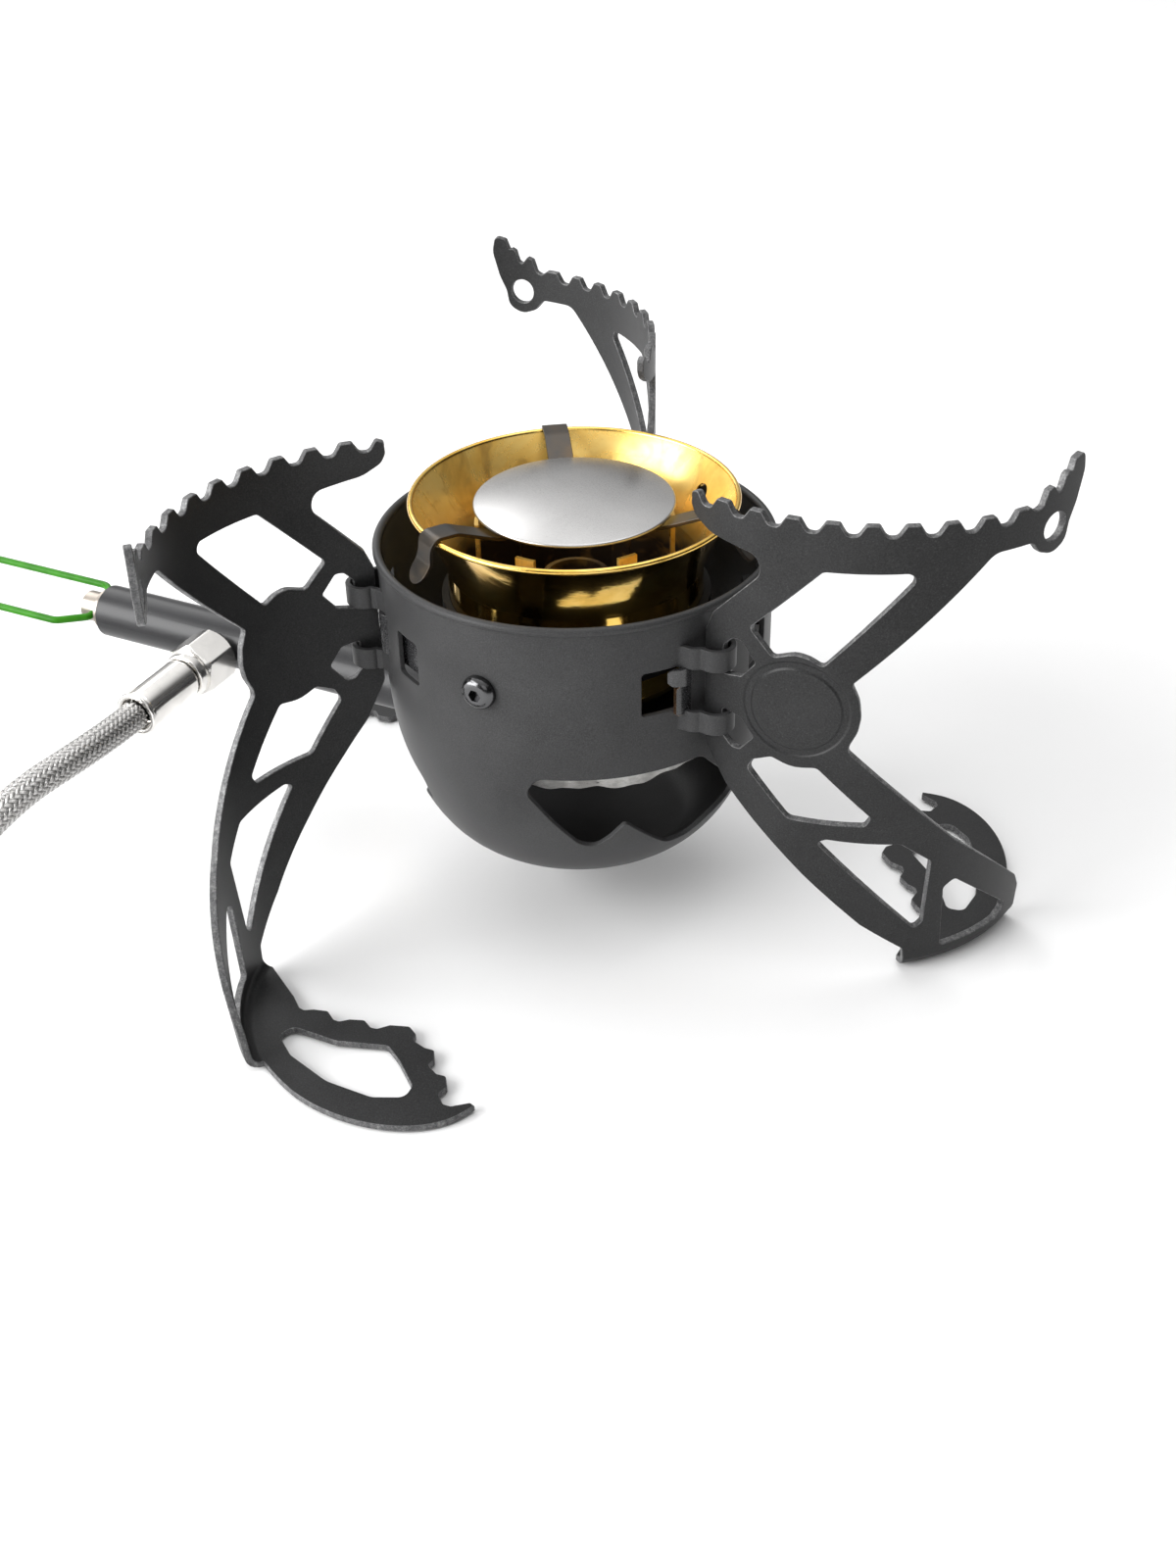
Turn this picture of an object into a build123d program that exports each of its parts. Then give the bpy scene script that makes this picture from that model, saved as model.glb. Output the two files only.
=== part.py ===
from build123d import *
import math
import os

os.makedirs("parts", exist_ok=True)

# ---------------------------------------------------------------- dimensions
# Folding multi-fuel camping stove. Millimetres, +Z up, z = 0 is the ground,
# the burner axis is the Z axis.

# windshield cup
CUP_R = 43.0            # outer radius of the straight wall
CUP_T = 1.2             # wall thickness
CUP_Z1 = 65.0           # the wall starts to curve in here
CUP_ZB = 16.0           # underside of the cup
CUP_FLAT = 20.0         # radius of the flat bottom
CUP_N = 2.3             # exponent of the rounded bottom
BEAD_R, BEAD_Z, BEAD_C = 0.95, 87.35, 42.95
WIN_AZ = (-77.0, 43.0, 163.0)
SCREW_AZ = (-118.0, 2.0, 122.0)
SCREW_Z = 71.3
SLOT_AZ = ((-72.5, -60.6), (-32.2, -21.5))   # on both sides of a hinge
SLOT_Z = (66.0, 76.0)

# leg hinges: strip of the leg plate inside two curled hooks of the cup
HINGE_R, HINGE_AZ = 46.2, -52.3
STRIP_W = 4.8
HOOK_RI, HOOK_T, HOOK_H = 2.85, 1.2, 5.0
HOOK_Z = (60.7, 75.7)

# leg plate: a curved ribbon about its own vertical axis
LEG_R, LEG_T = 49.0, 1.6
LEG_TH_H = -133.6       # angle of the hinge on the ribbon
FOLD_R = 3.0            # bend of the foot, middle of the plate
FOOT_R = 40.5           # where the flat foot starts
LEAN_Z = 64.0           # below this height the strip leans inwards
TOOTH_Z, NOTCH_Z = 112.8, 110.4
HOLE_R = 3.0            # hanging hole at the arm's tip
HOLE_TH, HOLE_Z = -51.8, 106.8
HUB_TH, HUB_Z, HUB_R = -112.0, 70.7, 13.2

# burner
BOWL_T = 0.9
BOWL_RIM_R, BOWL_RIM_Z = 35.4, 96.2
SPREADER_R, SPREADER_Z = 21.7, 95.7
BODY_R, BODY_Z = 28.0, 81.5    # straight wall of the bowl and where its flare starts
FING_R, FING_Z, FING_W = 21.2, 91.2, 4.4   # fingers of the flame ring
RING_Z = 62.0           # floor of the flame ring
ARM_AZ = (97.0, 213.5, 337.8)
ARM_W, ARM_T = 6.5, 0.8

# valve and hose
TUBE_AZ, TUBE_Z, TUBE_R = 153.0, 38.0, 6.6
TUBE_END = 136.0
CROSS_S = 138.7
WIRE_R = 0.95
INLET_S = 97.8
NUT_AF = 12.6
HOSE_R = 3.6
COIL_R = 37.0


def rad(a):
    return math.radians(a)


def pol(r, a, z=0.0):
    return Vector(r * math.cos(rad(a)), r * math.sin(rad(a)), z)


def save(shape, name):
    shape.label = name
    export_step(shape, f"parts/{name}.step")
    return shape


def rounded(points, radii):
    """Closed wire through 2-D points with a round of its own at each corner."""
    n = len(points)
    pts = [Vector(*p) for p in points]
    if isinstance(radii, (int, float)):
        radii = [radii] * n
    cuts = []
    for i in range(n):
        a, b, c = pts[i - 1], pts[i], pts[(i + 1) % n]
        u, v = (a - b), (c - b)
        lu, lv = u.length, v.length
        u, v = u.normalized(), v.normalized()
        ang = math.acos(max(-1, min(1, u.dot(v))))
        r = radii[i]
        if r <= 0 or ang > math.pi - 0.02:
            cuts.append((b, b, b))
            continue
        t = min(r / math.tan(ang / 2), 0.46 * lu, 0.46 * lv)
        r = t * math.tan(ang / 2)
        p, q = b + u * t, b + v * t
        w = (u + v).normalized()
        m = b + w * (r / math.sin(ang / 2) - r)
        cuts.append((p, m, q))
    edges = []
    for i in range(n):
        p, m, q = cuts[i]
        if (p - q).length > 1e-6:
            edges.append(ThreePointArc(p, m, q))
        nxt = cuts[(i + 1) % n][0]
        if (nxt - q).length > 1e-6:
            edges.append(Line(q, nxt))
    return Wire(edges)


def face(points, radii=0.0):
    return Face(rounded(points, radii))


def on_plane(f, origin, x_dir, normal):
    return Plane(origin=origin, x_dir=x_dir, z_dir=normal) * f


def cyl_along(r, p, d, length):
    """Cylinder of radius r from p along d."""
    pl = Plane(origin=p, z_dir=d)
    return pl * Cylinder(r, length, align=(Align.CENTER, Align.CENTER, Align.MIN))


# ---------------------------------------------------------------- cup
def cup_curve(off=0.0, m=13):
    """Points of the rounded bottom, off = depth inside the outer face."""
    a = CUP_R - CUP_FLAT
    b = CUP_Z1 - CUP_ZB
    e = 2.0 / CUP_N
    out = []
    for i in range(m):
        t = math.pi / 2 * i / (m - 1)
        c, s = max(math.cos(t), 0.0), math.sin(t)
        r = CUP_FLAT + a * c ** e
        z = CUP_Z1 - b * s ** e
        # outward normal of the superellipse
        nx = (max(r - CUP_FLAT, 0) / a) ** (CUP_N - 1) / a
        nz = -(max(CUP_Z1 - z, 0) / b) ** (CUP_N - 1) / b
        k = math.hypot(nx, nz)
        out.append((r - off * nx / k, z - off * nz / k))
    return out


def cup_profile():
    o = cup_curve(0.0)
    i = cup_curve(CUP_T)
    oc = Spline(*[Vector(r, 0, z) for r, z in o], tangents=[(0, 0, -1), (-1, 0, 0)])
    ic = Spline(*[Vector(r, 0, z) for r, z in i], tangents=[(0, 0, -1), (-1, 0, 0)])
    e = [
        Line((0, 0, CUP_ZB), (CUP_FLAT, 0, CUP_ZB)),
        oc,
        Line((CUP_R, 0, CUP_Z1), (CUP_R, 0, BEAD_Z)),
        Line((CUP_R, 0, BEAD_Z), (CUP_R - CUP_T, 0, BEAD_Z)),
        Line((CUP_R - CUP_T, 0, BEAD_Z), (CUP_R - CUP_T, 0, CUP_Z1)),
        ic,
        Line((i[-1][0], 0, i[-1][1]), (0, 0, i[-1][1])),
        Line((0, 0, i[-1][1]), (0, 0, CUP_ZB)),
    ]
    return Face(Wire(e))


cup = revolve(cup_profile(), Axis.Z)
bead = revolve(Plane.XZ * Pos(BEAD_C, BEAD_Z) * Circle(BEAD_R), Axis.Z)
cup = cup + bead

# air windows: flat top edge, a small and a large rounded lobe below with a peak between
W = [(-18.6, 51.5), (17.6, 51.5), (24.3, 43.2), (29.2, 38.0), (28.5, 32.0), (22.0, 29.8), (16.3, 26.6),
     (11.2, 27.0), (0.4, 38.2), (-2.9, 34.0), (-5.8, 31.2), (-9.3, 32.4), (-14.9, 39.2), (-20.4, 47.0)]
WR = [4.2, 3, 10, 3, 3, 10, 5, 4, 1.0, 5, 4, 5, 8, 2.6]
for az in WIN_AZ:
    w = face(W, WR)
    pl = Plane(origin=pol(22, az), x_dir=pol(1, az + 90), z_dir=pol(1, az))
    cup = cup - extrude(pl * w, 34, dir=pol(1, az))

# round way for the valve tube through the third window
cup = cup - cyl_along(TUBE_R + 0.7, pol(24, TUBE_AZ, TUBE_Z), pol(1, TUBE_AZ), 28)

for k in range(3):
    off = 120.0 * k
    # lanced slots beside the hinge
    for a0, a1 in SLOT_AZ:
        mid = (a0 + a1) / 2 + off
        hw = CUP_R * math.sin(rad((a1 - a0) / 2))
        s = face([(-hw, SLOT_Z[0]), (hw, SLOT_Z[0]), (hw, SLOT_Z[1]), (-hw, SLOT_Z[1])], 0.7)
        pl = Plane(origin=pol(36, mid), x_dir=pol(1, mid + 90), z_dir=pol(1, mid))
        cup = cup - extrude(pl * s, 14, dir=pol(1, mid))
    # screw hole
    a = SCREW_AZ[k]
    cup = cup - cyl_along(2.15, pol(38, a, SCREW_Z), pol(1, a), 10)

for k in range(3):
    az = HINGE_AZ + 120.0 * k
    H = pol(HINGE_R, az)
    for z in HOOK_Z:
        ring = Circle(HOOK_RI + HOOK_T) - Circle(HOOK_RI)
        # the curl runs from the wall round the outer side of the leg strip
        keep = face([(0, 0)] + [(9 * math.cos(rad(t)), 9 * math.sin(rad(t))) for t in range(-178, 56, 18)])
        hook = Pos(H.X, H.Y, z) * Rot(0, 0, az) * extrude(ring & keep, HOOK_H)
        # the curl dies into the wall, not into the space behind it
        core = Pos(0, 0, z - 1) * Cylinder(CUP_R - CUP_T, HOOK_H + 2, align=(Align.CENTER, Align.CENTER, Align.MIN))
        cup = cup + (hook - core)
save(cup, "windshield_cup")

# ---------------------------------------------------------------- leg
H0 = pol(HINGE_R, HINGE_AZ)
LEG_C = H0 - Vector(LEG_R * math.cos(rad(LEG_TH_H)), LEG_R * math.sin(rad(LEG_TH_H)))
TH_B, TH_A = -79.0, -33.5
LEAN = 0.0911555         # the strip leans this much per millimetre of height
ALPHA = math.atan(LEAN)
Z_BEND = LEG_T / 2 + FOLD_R
Z_F, RHO_F = Z_BEND - FOLD_R * math.sin(ALPHA), FOOT_R + FOLD_R * math.cos(ALPHA)


def rho(z):
    """Radius of the strip's middle about the leg's own axis."""
    return LEG_R - LEAN * max(0.0, LEAN_Z - z)


top = [(-141.7, 109.7, 1.5), (-141.6, 112.2, 0.8)]
notches = [-136.7, -127.9, -119.2, -110.3, -101.4, -92.7, -83.8, -75.1, -66.5]
for c in notches:
    top += [(c - 2.9, TOOTH_Z, 0.5), (c - 1.1, NOTCH_Z, 1.0), (c + 1.1, NOTCH_Z, 1.0), (c + 2.9, TOOTH_Z, 0.5)]
top += [(-60.2, 112.8, 0.5), (-58.3, 111.6, 0.9), (-56.6, 112.2, 0.9), (-55.4, 115.2, 0.5),
        (-53.6, 115.7, 0.5), (-52.0, 113.9, 0.8), (-50.9, 114.4, 0.8), (-50.0, 117.0, 0.5),
        (-48.8, 117.6, 0.4), (-48.0, 117.2, 0.5), (-46.9, 119.7, 0.8), (-43.6, 120.4, 1.2)]
outer_end = [(-42.6, 116.5, 5), (-44.6, 110.2, 8), (-46.6, 106.6, 4), (-47.3, 102.6, 3.2), (-51.6, 100.9, 4),
             (-56.2, 102.4, 3), (-58.6, 105.0, 2), (-68.6, 105.0, 4), (-98.9, 78.4, 2.0)]
hub_right = []
for t in (32, 16, 0, -16, -32):
    hub_right.append((HUB_TH + math.degrees(HUB_R * math.cos(rad(t)) / LEG_R), HUB_Z + HUB_R * math.sin(rad(t)), 6))
low_right = [(-99.0, 62.1, 2.0), (-84.9, 50.1, 0), (-69.0, 36.5, 0), (-38.6, 14.6, 5), (-34.6, 10.0, 3), (TH_A, Z_F - 0.6, 0)]
low_left = [(TH_B, Z_F - 0.6, 0), (-79.7, 6.6, 1.2), (-92.6, 14.6, 0), (-108.9, 27.8, 0), (-122.7, 39.8, 0), (-130.8, 47.3, 8),
            (-136.4, 56.0, 3)]
strip = [(-136.4, 83.4, 1.5), (-134.2, 88.0, 3), (-121.6, 99.6, 3.5), (-123.0, 103.4, 3), (-135.6, 105.1, 8), (-140.6, 107.6, 6)]

outline = top + outer_end + hub_right + low_right + low_left + strip


def flat(pts, tm):
    return [(rad(t - tm) * rho(z), z) for t, z, *_ in pts], [p[2] if len(p) > 2 else 1.0 for p in pts]


UPPER_WIN = [(-124.0, 87.2, 1.0), (-107.2, 102.4, 1.6), (-85.0, 102.8, 1.5), (-106.1, 81.6, 1.0), (-109.2, 83.0, 4), (-112.6, 83.6, 6), (-118.0, 81.9, 1.2)]
LOW_WIN_1 = [(-124.0, 53.5, 1.5), (-122.3, 56.2, 1.2), (-117.6, 58.1, 1.2), (-112.4, 56.5, 8), (-106.3, 57.3, 1.5), (-92.3, 45.0, 1.2), (-93.7, 42.8, 1.0), (-113.2, 42.8, 2.0)]
LOW_WIN_2 = [(-105.5, 37.4, 1.2), (-103.0, 38.5, 1.5), (-83.9, 37.4, 2.0), (-75.1, 31.6, 1.2), (-74.8, 14.0, 1.2), (-76.8, 12.3, 1.2)]
LOW_WIN_3 = [(-69.8, 22.9, 1.5), (-66.7, 24.8, 1.5), (-41.0, 7.4, 1.5), (-45.5, 4.9, 2.0), (-67.6, 5.2, 1.0)]
PENT_LOW = [(-130.8, 60.0, 1.2), (-128.4, 57.8, 1.2), (-126.2, 57.7, 1.2), (-122.2, 61.9, 0.8), (-125.8, 65.8, 0.8), (-130.8, 66.6, 0.6)]
PENT_UP = [(t, 2 * HUB_Z - z, r) for t, z, r in PENT_LOW][::-1]

def pattern(tm):
    out = face(*flat(outline, tm))
    for wdw in (UPPER_WIN, LOW_WIN_1, LOW_WIN_2, LOW_WIN_3, PENT_LOW, PENT_UP):
        out = out - face(*flat(wdw, tm))
    return out


LEG_AXIS = Axis((LEG_C.X, LEG_C.Y, 0), (0, 0, 1))


def upright(t):
    """Plane through the leg's own axis: x outwards, y up."""
    return Plane(origin=LEG_C, x_dir=pol(1, t), z_dir=Vector(math.sin(rad(t)), -math.cos(rad(t)), 0))


h = LEG_T / 2
ca, sa, ta = math.cos(ALPHA), math.sin(ALPHA), math.tan(ALPHA / 2)
section = Face(Wire(Polyline((RHO_F + h * ca, Z_F - h * sa), (LEG_R + h, LEAN_Z - h * ta), (LEG_R + h, 125), (LEG_R - h, 125),
                             (LEG_R - h, LEAN_Z + h * ta), (RHO_F - h * ca, Z_F + h * sa), close=True)))

SEAMS = (-143.0, -132.3, -123.55, -114.75, -105.85, -97.05, -88.25, -79.45, -70.8, -62.6, -54.5, -41.8, -33.0)
leg = None
for t0, t1 in zip(SEAMS[:-1], SEAMS[1:]):
    tm = (t0 + t1) / 2
    sector = revolve(upright(t0) * section, LEG_AXIS, t1 - t0)
    pl = Plane(origin=LEG_C + pol(LEG_R, tm), x_dir=pol(1, tm + 90), z_dir=pol(1, tm))
    cutter = extrude(pl * pattern(tm), 9.5, both=True)
    piece = sector & cutter
    leg = piece if leg is None else leg + piece

# bend of the foot
RB = FOOT_R
A = math.degrees(ALPHA)
arc_o = CenterArc((RB, Z_BEND), FOLD_R + h, -90, 90 - A)
arc_i = CenterArc((RB, Z_BEND), FOLD_R - h, -90, 90 - A)
bend_face = Face(Wire([arc_o, arc_i, Line(arc_o @ 0, arc_i @ 0), Line(arc_o @ 1, arc_i @ 1)]))
bend = revolve(upright(TH_B) * bend_face, LEG_AXIS, TH_A - TH_B)
leg = leg + bend

# foot wing, lying on the ground
cB, cA = LEG_C + pol(RB, TH_B), LEG_C + pol(RB, TH_A)
arc_w = CenterArc((LEG_C.X, LEG_C.Y), RB, TH_B, TH_A - TH_B)
outer_w = Spline((cA.X, cA.Y), (100.2, -12.6), (101.5, -0.8), (99.8, 8.8), (95.6, 16.8), (90.8, 21.0), (86.0, 22.9))
serr = [(86.0, 22.9), (85.6, 21.6), (88.4, 18.6), (88.6, 16.8), (86.6, 14.6), (84.0, 15.0), (81.3, 12.9), (81.7, 10.8), (80.4, 8.0), (78.4, 8.2),
        (75.8, 6.4), (76.1, 4.2), (75.4, 1.0), (73.4, 0.2), (72.0, -2.4), (73.6, -6.4), (75.9, -8.2), (76.2, -9.6), (74.9, -12.2), (76.2, -15.2),
        (77.8, -16.8), (77.9, -18.2), (76.2, -21.0), (77.2, -24.0), (78.4, -25.8), (78.2, -27.2), (75.8, -30.4), (cB.X, cB.Y)]
wing = Face(Wire([arc_w, outer_w] + [Line(serr[i], serr[i + 1]) for i in range(len(serr) - 1)]))
wing = wing - face([(87.6, -25.6), (84.0, -24.4), (83.4, -13.6), (79.4, -3.0), (82.2, 1.8), (87.2, 8.4), (90.6, 8.8), (93.8, 2.8), (94.3, -8.3), (91.4, -19.7)],
                   [2, 2, 3, 2, 2, 2, 2.5, 4, 8, 4])
leg = leg + extrude(wing, LEG_T)

# hanging hole, drilled square to the plate
leg = leg - cyl_along(HOLE_R, LEG_C + pol(LEG_R - 6, HOLE_TH, HOLE_Z), pol(1, HOLE_TH), 12)

save(leg, "leg_right")
save(leg.rotate(Axis.Z, 120), "leg_back")
save(leg.rotate(Axis.Z, 240), "leg_left")

# ---------------------------------------------------------------- cup screws and bracket
screws, nuts = [], []
BR_X = 41.4
bracket = Pos(0, 0, 65.8) * extrude(Circle(BODY_R + 1.6) - Circle(BODY_R + 0.06), 9.2)
for a in SCREW_AZ:
    d = pol(1, a)
    p = pol(43.02, a, SCREW_Z)
    pl = Plane(origin=p, z_dir=d)
    head = pl * (Pos(0, 0, 0) * Cylinder(3.8, 2.2, align=(Align.CENTER, Align.CENTER, Align.MIN)))
    head = fillet([e for e in head.edges() if e.geom_type == GeomType.CIRCLE and (e.arc_center - p).length > 1.5], 1.9)
    socket = pl * Pos(0, 0, 0.9) * extrude(RegularPolygon(1.25, 6, major_radius=False), 3)
    shank = cyl_along(2.0, pol(36.3, a, SCREW_Z), d, 43.02 - 36.3)
    screws.append((head + shank) - socket)
    npl = Plane(origin=pol(36.8, a, SCREW_Z), z_dir=d)
    nuts.append(npl * extrude(RegularPolygon(3.5, 6, major_radius=False) - Circle(2.05), 3.2))
    # ear of the bracket: foot plate and upright tab
    ear = Rot(0, 0, a) * (Pos((BODY_R + 1.0 + BR_X) / 2, 0, 66.4) * Box(BR_X - BODY_R - 1.0, 9, 1.2)
                          + Pos(BR_X - 0.65, 0, 71.0) * Box(1.3, 9, 10.4))
    ear = ear - cyl_along(2.05, pol(39.5, a, SCREW_Z), d, 4)
    bracket = bracket + ear
bracket = bracket - Pos(0, 0, 60) * Cylinder(BODY_R + 0.06, 40, align=(Align.CENTER, Align.CENTER, Align.MIN))
save(Compound(children=screws), "cup_screws")
save(Compound(children=nuts), "cup_screw_nuts")
save(bracket, "burner_bracket")

# ---------------------------------------------------------------- burner
bo = [(BODY_R, BODY_Z), (30.0, 86.8), (32.5, 91.8), (BOWL_RIM_R, BOWL_RIM_Z)]
outer = Spline(*[Vector(r, 0, z) for r, z in bo], tangents=[(0.36, 0, 1), (1, 0, 1.4)])
BI = BODY_R - BOWL_T
bi = [(BI, BODY_Z + 0.15), (29.17, 87.16), (31.72, 92.25), (34.67, 96.72)]
inner = Spline(*[Vector(r, 0, z) for r, z in bi], tangents=[(0.36, 0, 1), (1, 0, 1.4)])
Z_FLOOR = 57.6
RC = BODY_R - 3.0
S45 = math.sin(rad(45))
bowl_face = Face(Wire([
    Line((7.3, 0, Z_FLOOR), (RC, 0, Z_FLOOR)),
    ThreePointArc((RC, 0, Z_FLOOR), (RC + 3 * S45, 0, Z_FLOOR + 3 - 3 * S45), (BODY_R, 0, Z_FLOOR + 3)),
    Line((BODY_R, 0, Z_FLOOR + 3), (BODY_R, 0, BODY_Z)),
    outer,
    Line((BOWL_RIM_R, 0, BOWL_RIM_Z), (34.67, 0, 96.72)),
    inner,
    Line((BI, 0, BODY_Z + 0.15), (BI, 0, Z_FLOOR + 3)),
    ThreePointArc((BI, 0, Z_FLOOR + 3), (RC + 2.1 * S45, 0, Z_FLOOR + 3 - 2.1 * S45), (RC, 0, Z_FLOOR + 0.9)),
    Line((RC, 0, Z_FLOOR + 0.9), (7.3, 0, Z_FLOOR + 0.9)),
    Line((7.3, 0, Z_FLOOR + 0.9), (7.3, 0, Z_FLOOR)),
]))
bowl = revolve(bowl_face, Axis.Z)
bowl = bowl + Pos(0, 0, 96.55) * Torus(35.1, 0.62)
bowl = bowl - cyl_along(2.0, pol(25, 24.5, 90.2), pol(1, 24.5), 16)
save(bowl, "burner_bowl")

mixing = Pos(0, 0, 54.2) * extrude(Circle(7.25) - Circle(6.2), 24)
mixing = mixing + Pos(0, 0, Z_FLOOR + 0.95) * extrude(Circle(9.4) - Circle(7.0), 1.2)
save(mixing, "mixing_tube")

# flame ring over the bowl's floor: pierced disc with a low collar and six upright fingers
ring = Pos(0, 0, RING_Z) * extrude(Circle(25.4) - Circle(7.6), 0.8)
ring = ring - Pos(0, 0, RING_Z) * PolarLocations(14.5, 10) * Cylinder(2.2, 5)
collar = Pos(0, 0, RING_Z) * extrude(Circle(FING_R + 0.45) - Circle(FING_R - 0.45), 4.0)
ring = ring + collar
for k in range(6):
    tab = Pos(0, 0, RING_Z) * extrude(Circle(FING_R + 0.45) - Circle(FING_R - 0.45), FING_Z - RING_Z)
    tab = tab & (Rot(0, 0, 60 * k + 0.5) * Pos(FING_R, 0, (RING_Z + FING_Z) / 2) * Box(6, FING_W, FING_Z - RING_Z + 2))
    ring = ring + tab
save(ring, "flame_ring")
legs3 = [Pos(*pol(23.4, a, Z_FLOOR + 0.9)) * Cylinder(1.1, RING_Z - Z_FLOOR - 0.9, align=(Align.CENTER, Align.CENTER, Align.MIN)) for a in (30, 150, 270)]
save(Compound(children=legs3), "flame_ring_posts")

Z_BLOCK0, Z_BLOCK1 = 29.0, 44.8
block = Pos(0, 0, Z_BLOCK0) * Rot(0, 0, TUBE_AZ - 30) * extrude(RegularPolygon(9.0, 6, major_radius=False, rotation=0), Z_BLOCK1 - Z_BLOCK0)
save(block, "jet_block")
# spool that holds the priming pad: disc, neck and a cover disc on top
POST_AZ = (60, 180, 300)
tray = Pos(0, 0, Z_BLOCK1) * extrude(Circle(31.8) - Circle(3.1), 0.7)
tray = tray + Pos(0, 0, Z_BLOCK1) * extrude(Circle(8.5) - Circle(7.9), 7.7)
tray = tray + Pos(0, 0, Z_BLOCK1 + 7.0) * extrude(Circle(35.4) - Circle(7.9), 0.7)
for a in POST_AZ:
    tray = tray - Pos(*pol(15, a, Z_BLOCK1 + 4)) * Cylinder(1.75, 10, align=(Align.CENTER, Align.CENTER, Align.MIN))
save(tray, "pad_tray")
nip = Pos(0, 0, Z_BLOCK1 + 0.7) * (extrude(RegularPolygon(4.0, 6, major_radius=False), 4.5) + Pos(0, 0, 4.5) * Cone(3.2, 1.6, 3.2, align=(Align.CENTER, Align.CENTER, Align.MIN)))
nip = nip - Pos(0, 0, 50) * Cylinder(0.4, 8)
save(nip, "jet_nipple")
pad = Pos(0, 0, Z_BLOCK1 + 0.7) * extrude(Circle(34.6) - Circle(8.6), 6.2)
skirt = Pos(0, 0, Z_BLOCK1 - 2.0) * extrude(Circle(34.6) - Circle(32.0), 3.0)
skirt = skirt - Rot(0, 0, TUBE_AZ) * Pos(33, 0, Z_BLOCK1 - 0.5) * Box(12, 17, 6)
pad = pad + skirt
for a in POST_AZ:
    pad = pad - Pos(*pol(15, a, 40)) * Cylinder(1.75, 40)
save(pad, "priming_pad")
posts = [Pos(*pol(15, a, Z_BLOCK1 + 0.7)) * Cylinder(1.7, Z_FLOOR - Z_BLOCK1 - 0.7, align=(Align.CENTER, Align.CENTER, Align.MIN)) for a in POST_AZ]
save(Compound(children=posts), "burner_posts")

# flame spreader: domed disc on a three-armed strip that hooks over the rim
DOME = 2.4
Rs = (SPREADER_R ** 2 + DOME ** 2) / (2 * DOME)
zc = SPREADER_Z + DOME - Rs


def dome_z(r):
    return zc + math.sqrt(Rs ** 2 - r ** 2)


slope = -SPREADER_R / math.sqrt(Rs ** 2 - SPREADER_R ** 2)
dome_o = Spline(*[Vector(r, 0, dome_z(r)) for r in (0, 7.2, 14.4, SPREADER_R)], tangents=[(1, 0, 0), (1, 0, slope)])
dome_i = Spline(*[Vector(r, 0, dome_z(r) - 0.9) for r in (0, 7.2, 14.4, SPREADER_R)], tangents=[(1, 0, 0), (1, 0, slope)])
sp = Face(Wire([dome_o, Line(dome_o @ 1, dome_i @ 1), dome_i, Line(dome_i @ 0, dome_o @ 0)]))
save(revolve(sp, Axis.Z), "flame_spreader")

ZA = 92.8                      # underside of the strip below the disc
arm_path = [(4.0, ZA), (20.5, ZA), (30.6, 97.05), (35.95, 97.3), (36.95, 92.4), (40.0, 88.0)]


def strip_section(path, t, r=1.2):
    """Closed 2-D outline of a bent strip, path on its lower face."""
    n = len(path)
    up = []
    for i in range(n):
        if i == 0:
            d = Vector(*path[1]) - Vector(*path[0])
            nrm = Vector(-d.Y, d.X).normalized()
            up.append(Vector(*path[0]) + nrm * t)
        elif i == n - 1:
            d = Vector(*path[-1]) - Vector(*path[-2])
            nrm = Vector(-d.Y, d.X).normalized()
            up.append(Vector(*path[-1]) + nrm * t)
        else:
            a = (Vector(*path[i]) - Vector(*path[i - 1])).normalized()
            b = (Vector(*path[i + 1]) - Vector(*path[i])).normalized()
            na, nb = Vector(-a.Y, a.X), Vector(-b.Y, b.X)
            m = (na + nb).normalized()
            up.append(Vector(*path[i]) + m * (t / m.dot(na)))
    pts = [tuple(p) for p in path] + [(v.X, v.Y) for v in reversed(up)]
    rr = [0] + [r * 0.6] * (n - 2) + [0, 0] + [r] * (n - 2) + [0]
    return face(pts, rr)


arms = Pos(0, 0, ZA) * Cylinder(8.0, ARM_T, align=(Align.CENTER, Align.CENTER, Align.MIN))
for a in ARM_AZ:
    sct = strip_section(arm_path, ARM_T)
    pl = Plane(origin=(0, 0, 0), x_dir=pol(1, a), z_dir=pol(1, a - 90))
    arms = arms + extrude(pl * sct, ARM_W / 2, both=True)
save(arms, "spreader_arms")
stud_top = zc + Rs - 0.9
save(Pos(0, 0, ZA + ARM_T) * Cylinder(3.0, stud_top - ZA - ARM_T - 0.05, align=(Align.CENTER, Align.CENTER, Align.MIN)), "spreader_stud")

# ---------------------------------------------------------------- valve
TD = pol(1, TUBE_AZ)
LD = pol(1, TUBE_AZ + 90)


def at(s, v=0.0, z=TUBE_Z):
    return TD * s + LD * v + Vector(0, 0, z)


tube = cyl_along(TUBE_R, at(9.0), TD, TUBE_END - 9.0)
tube = chamfer([e for e in tube.edges() if e.geom_type == GeomType.CIRCLE and (e.arc_center - at(TUBE_END)).length < 0.1], 0.8)
tube = tube - cyl_along(4.0, at(72), TD, TUBE_END - 72 + 1)
boss = cyl_along(4.6, at(INLET_S, 3.0), LD, 6.4)
tube = tube + (boss - cyl_along(4.0, at(72), TD, TUBE_END - 72 + 1))
tube = tube - cyl_along(1.6, at(INLET_S, 0), LD, 12)
save(tube, "valve_tube")

gland = cyl_along(3.95, at(TUBE_END - 10), TD, 10) + cyl_along(5.2, at(TUBE_END), TD, 1.2)
gland = gland - cyl_along(3.05, at(TUBE_END - 12), TD, 16)
save(gland, "gland_nut")
save(cyl_along(3.95, at(TUBE_END - 12.4), TD, 2.3) - cyl_along(3.05, at(TUBE_END - 14), TD, 6), "gland_seal")

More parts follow.
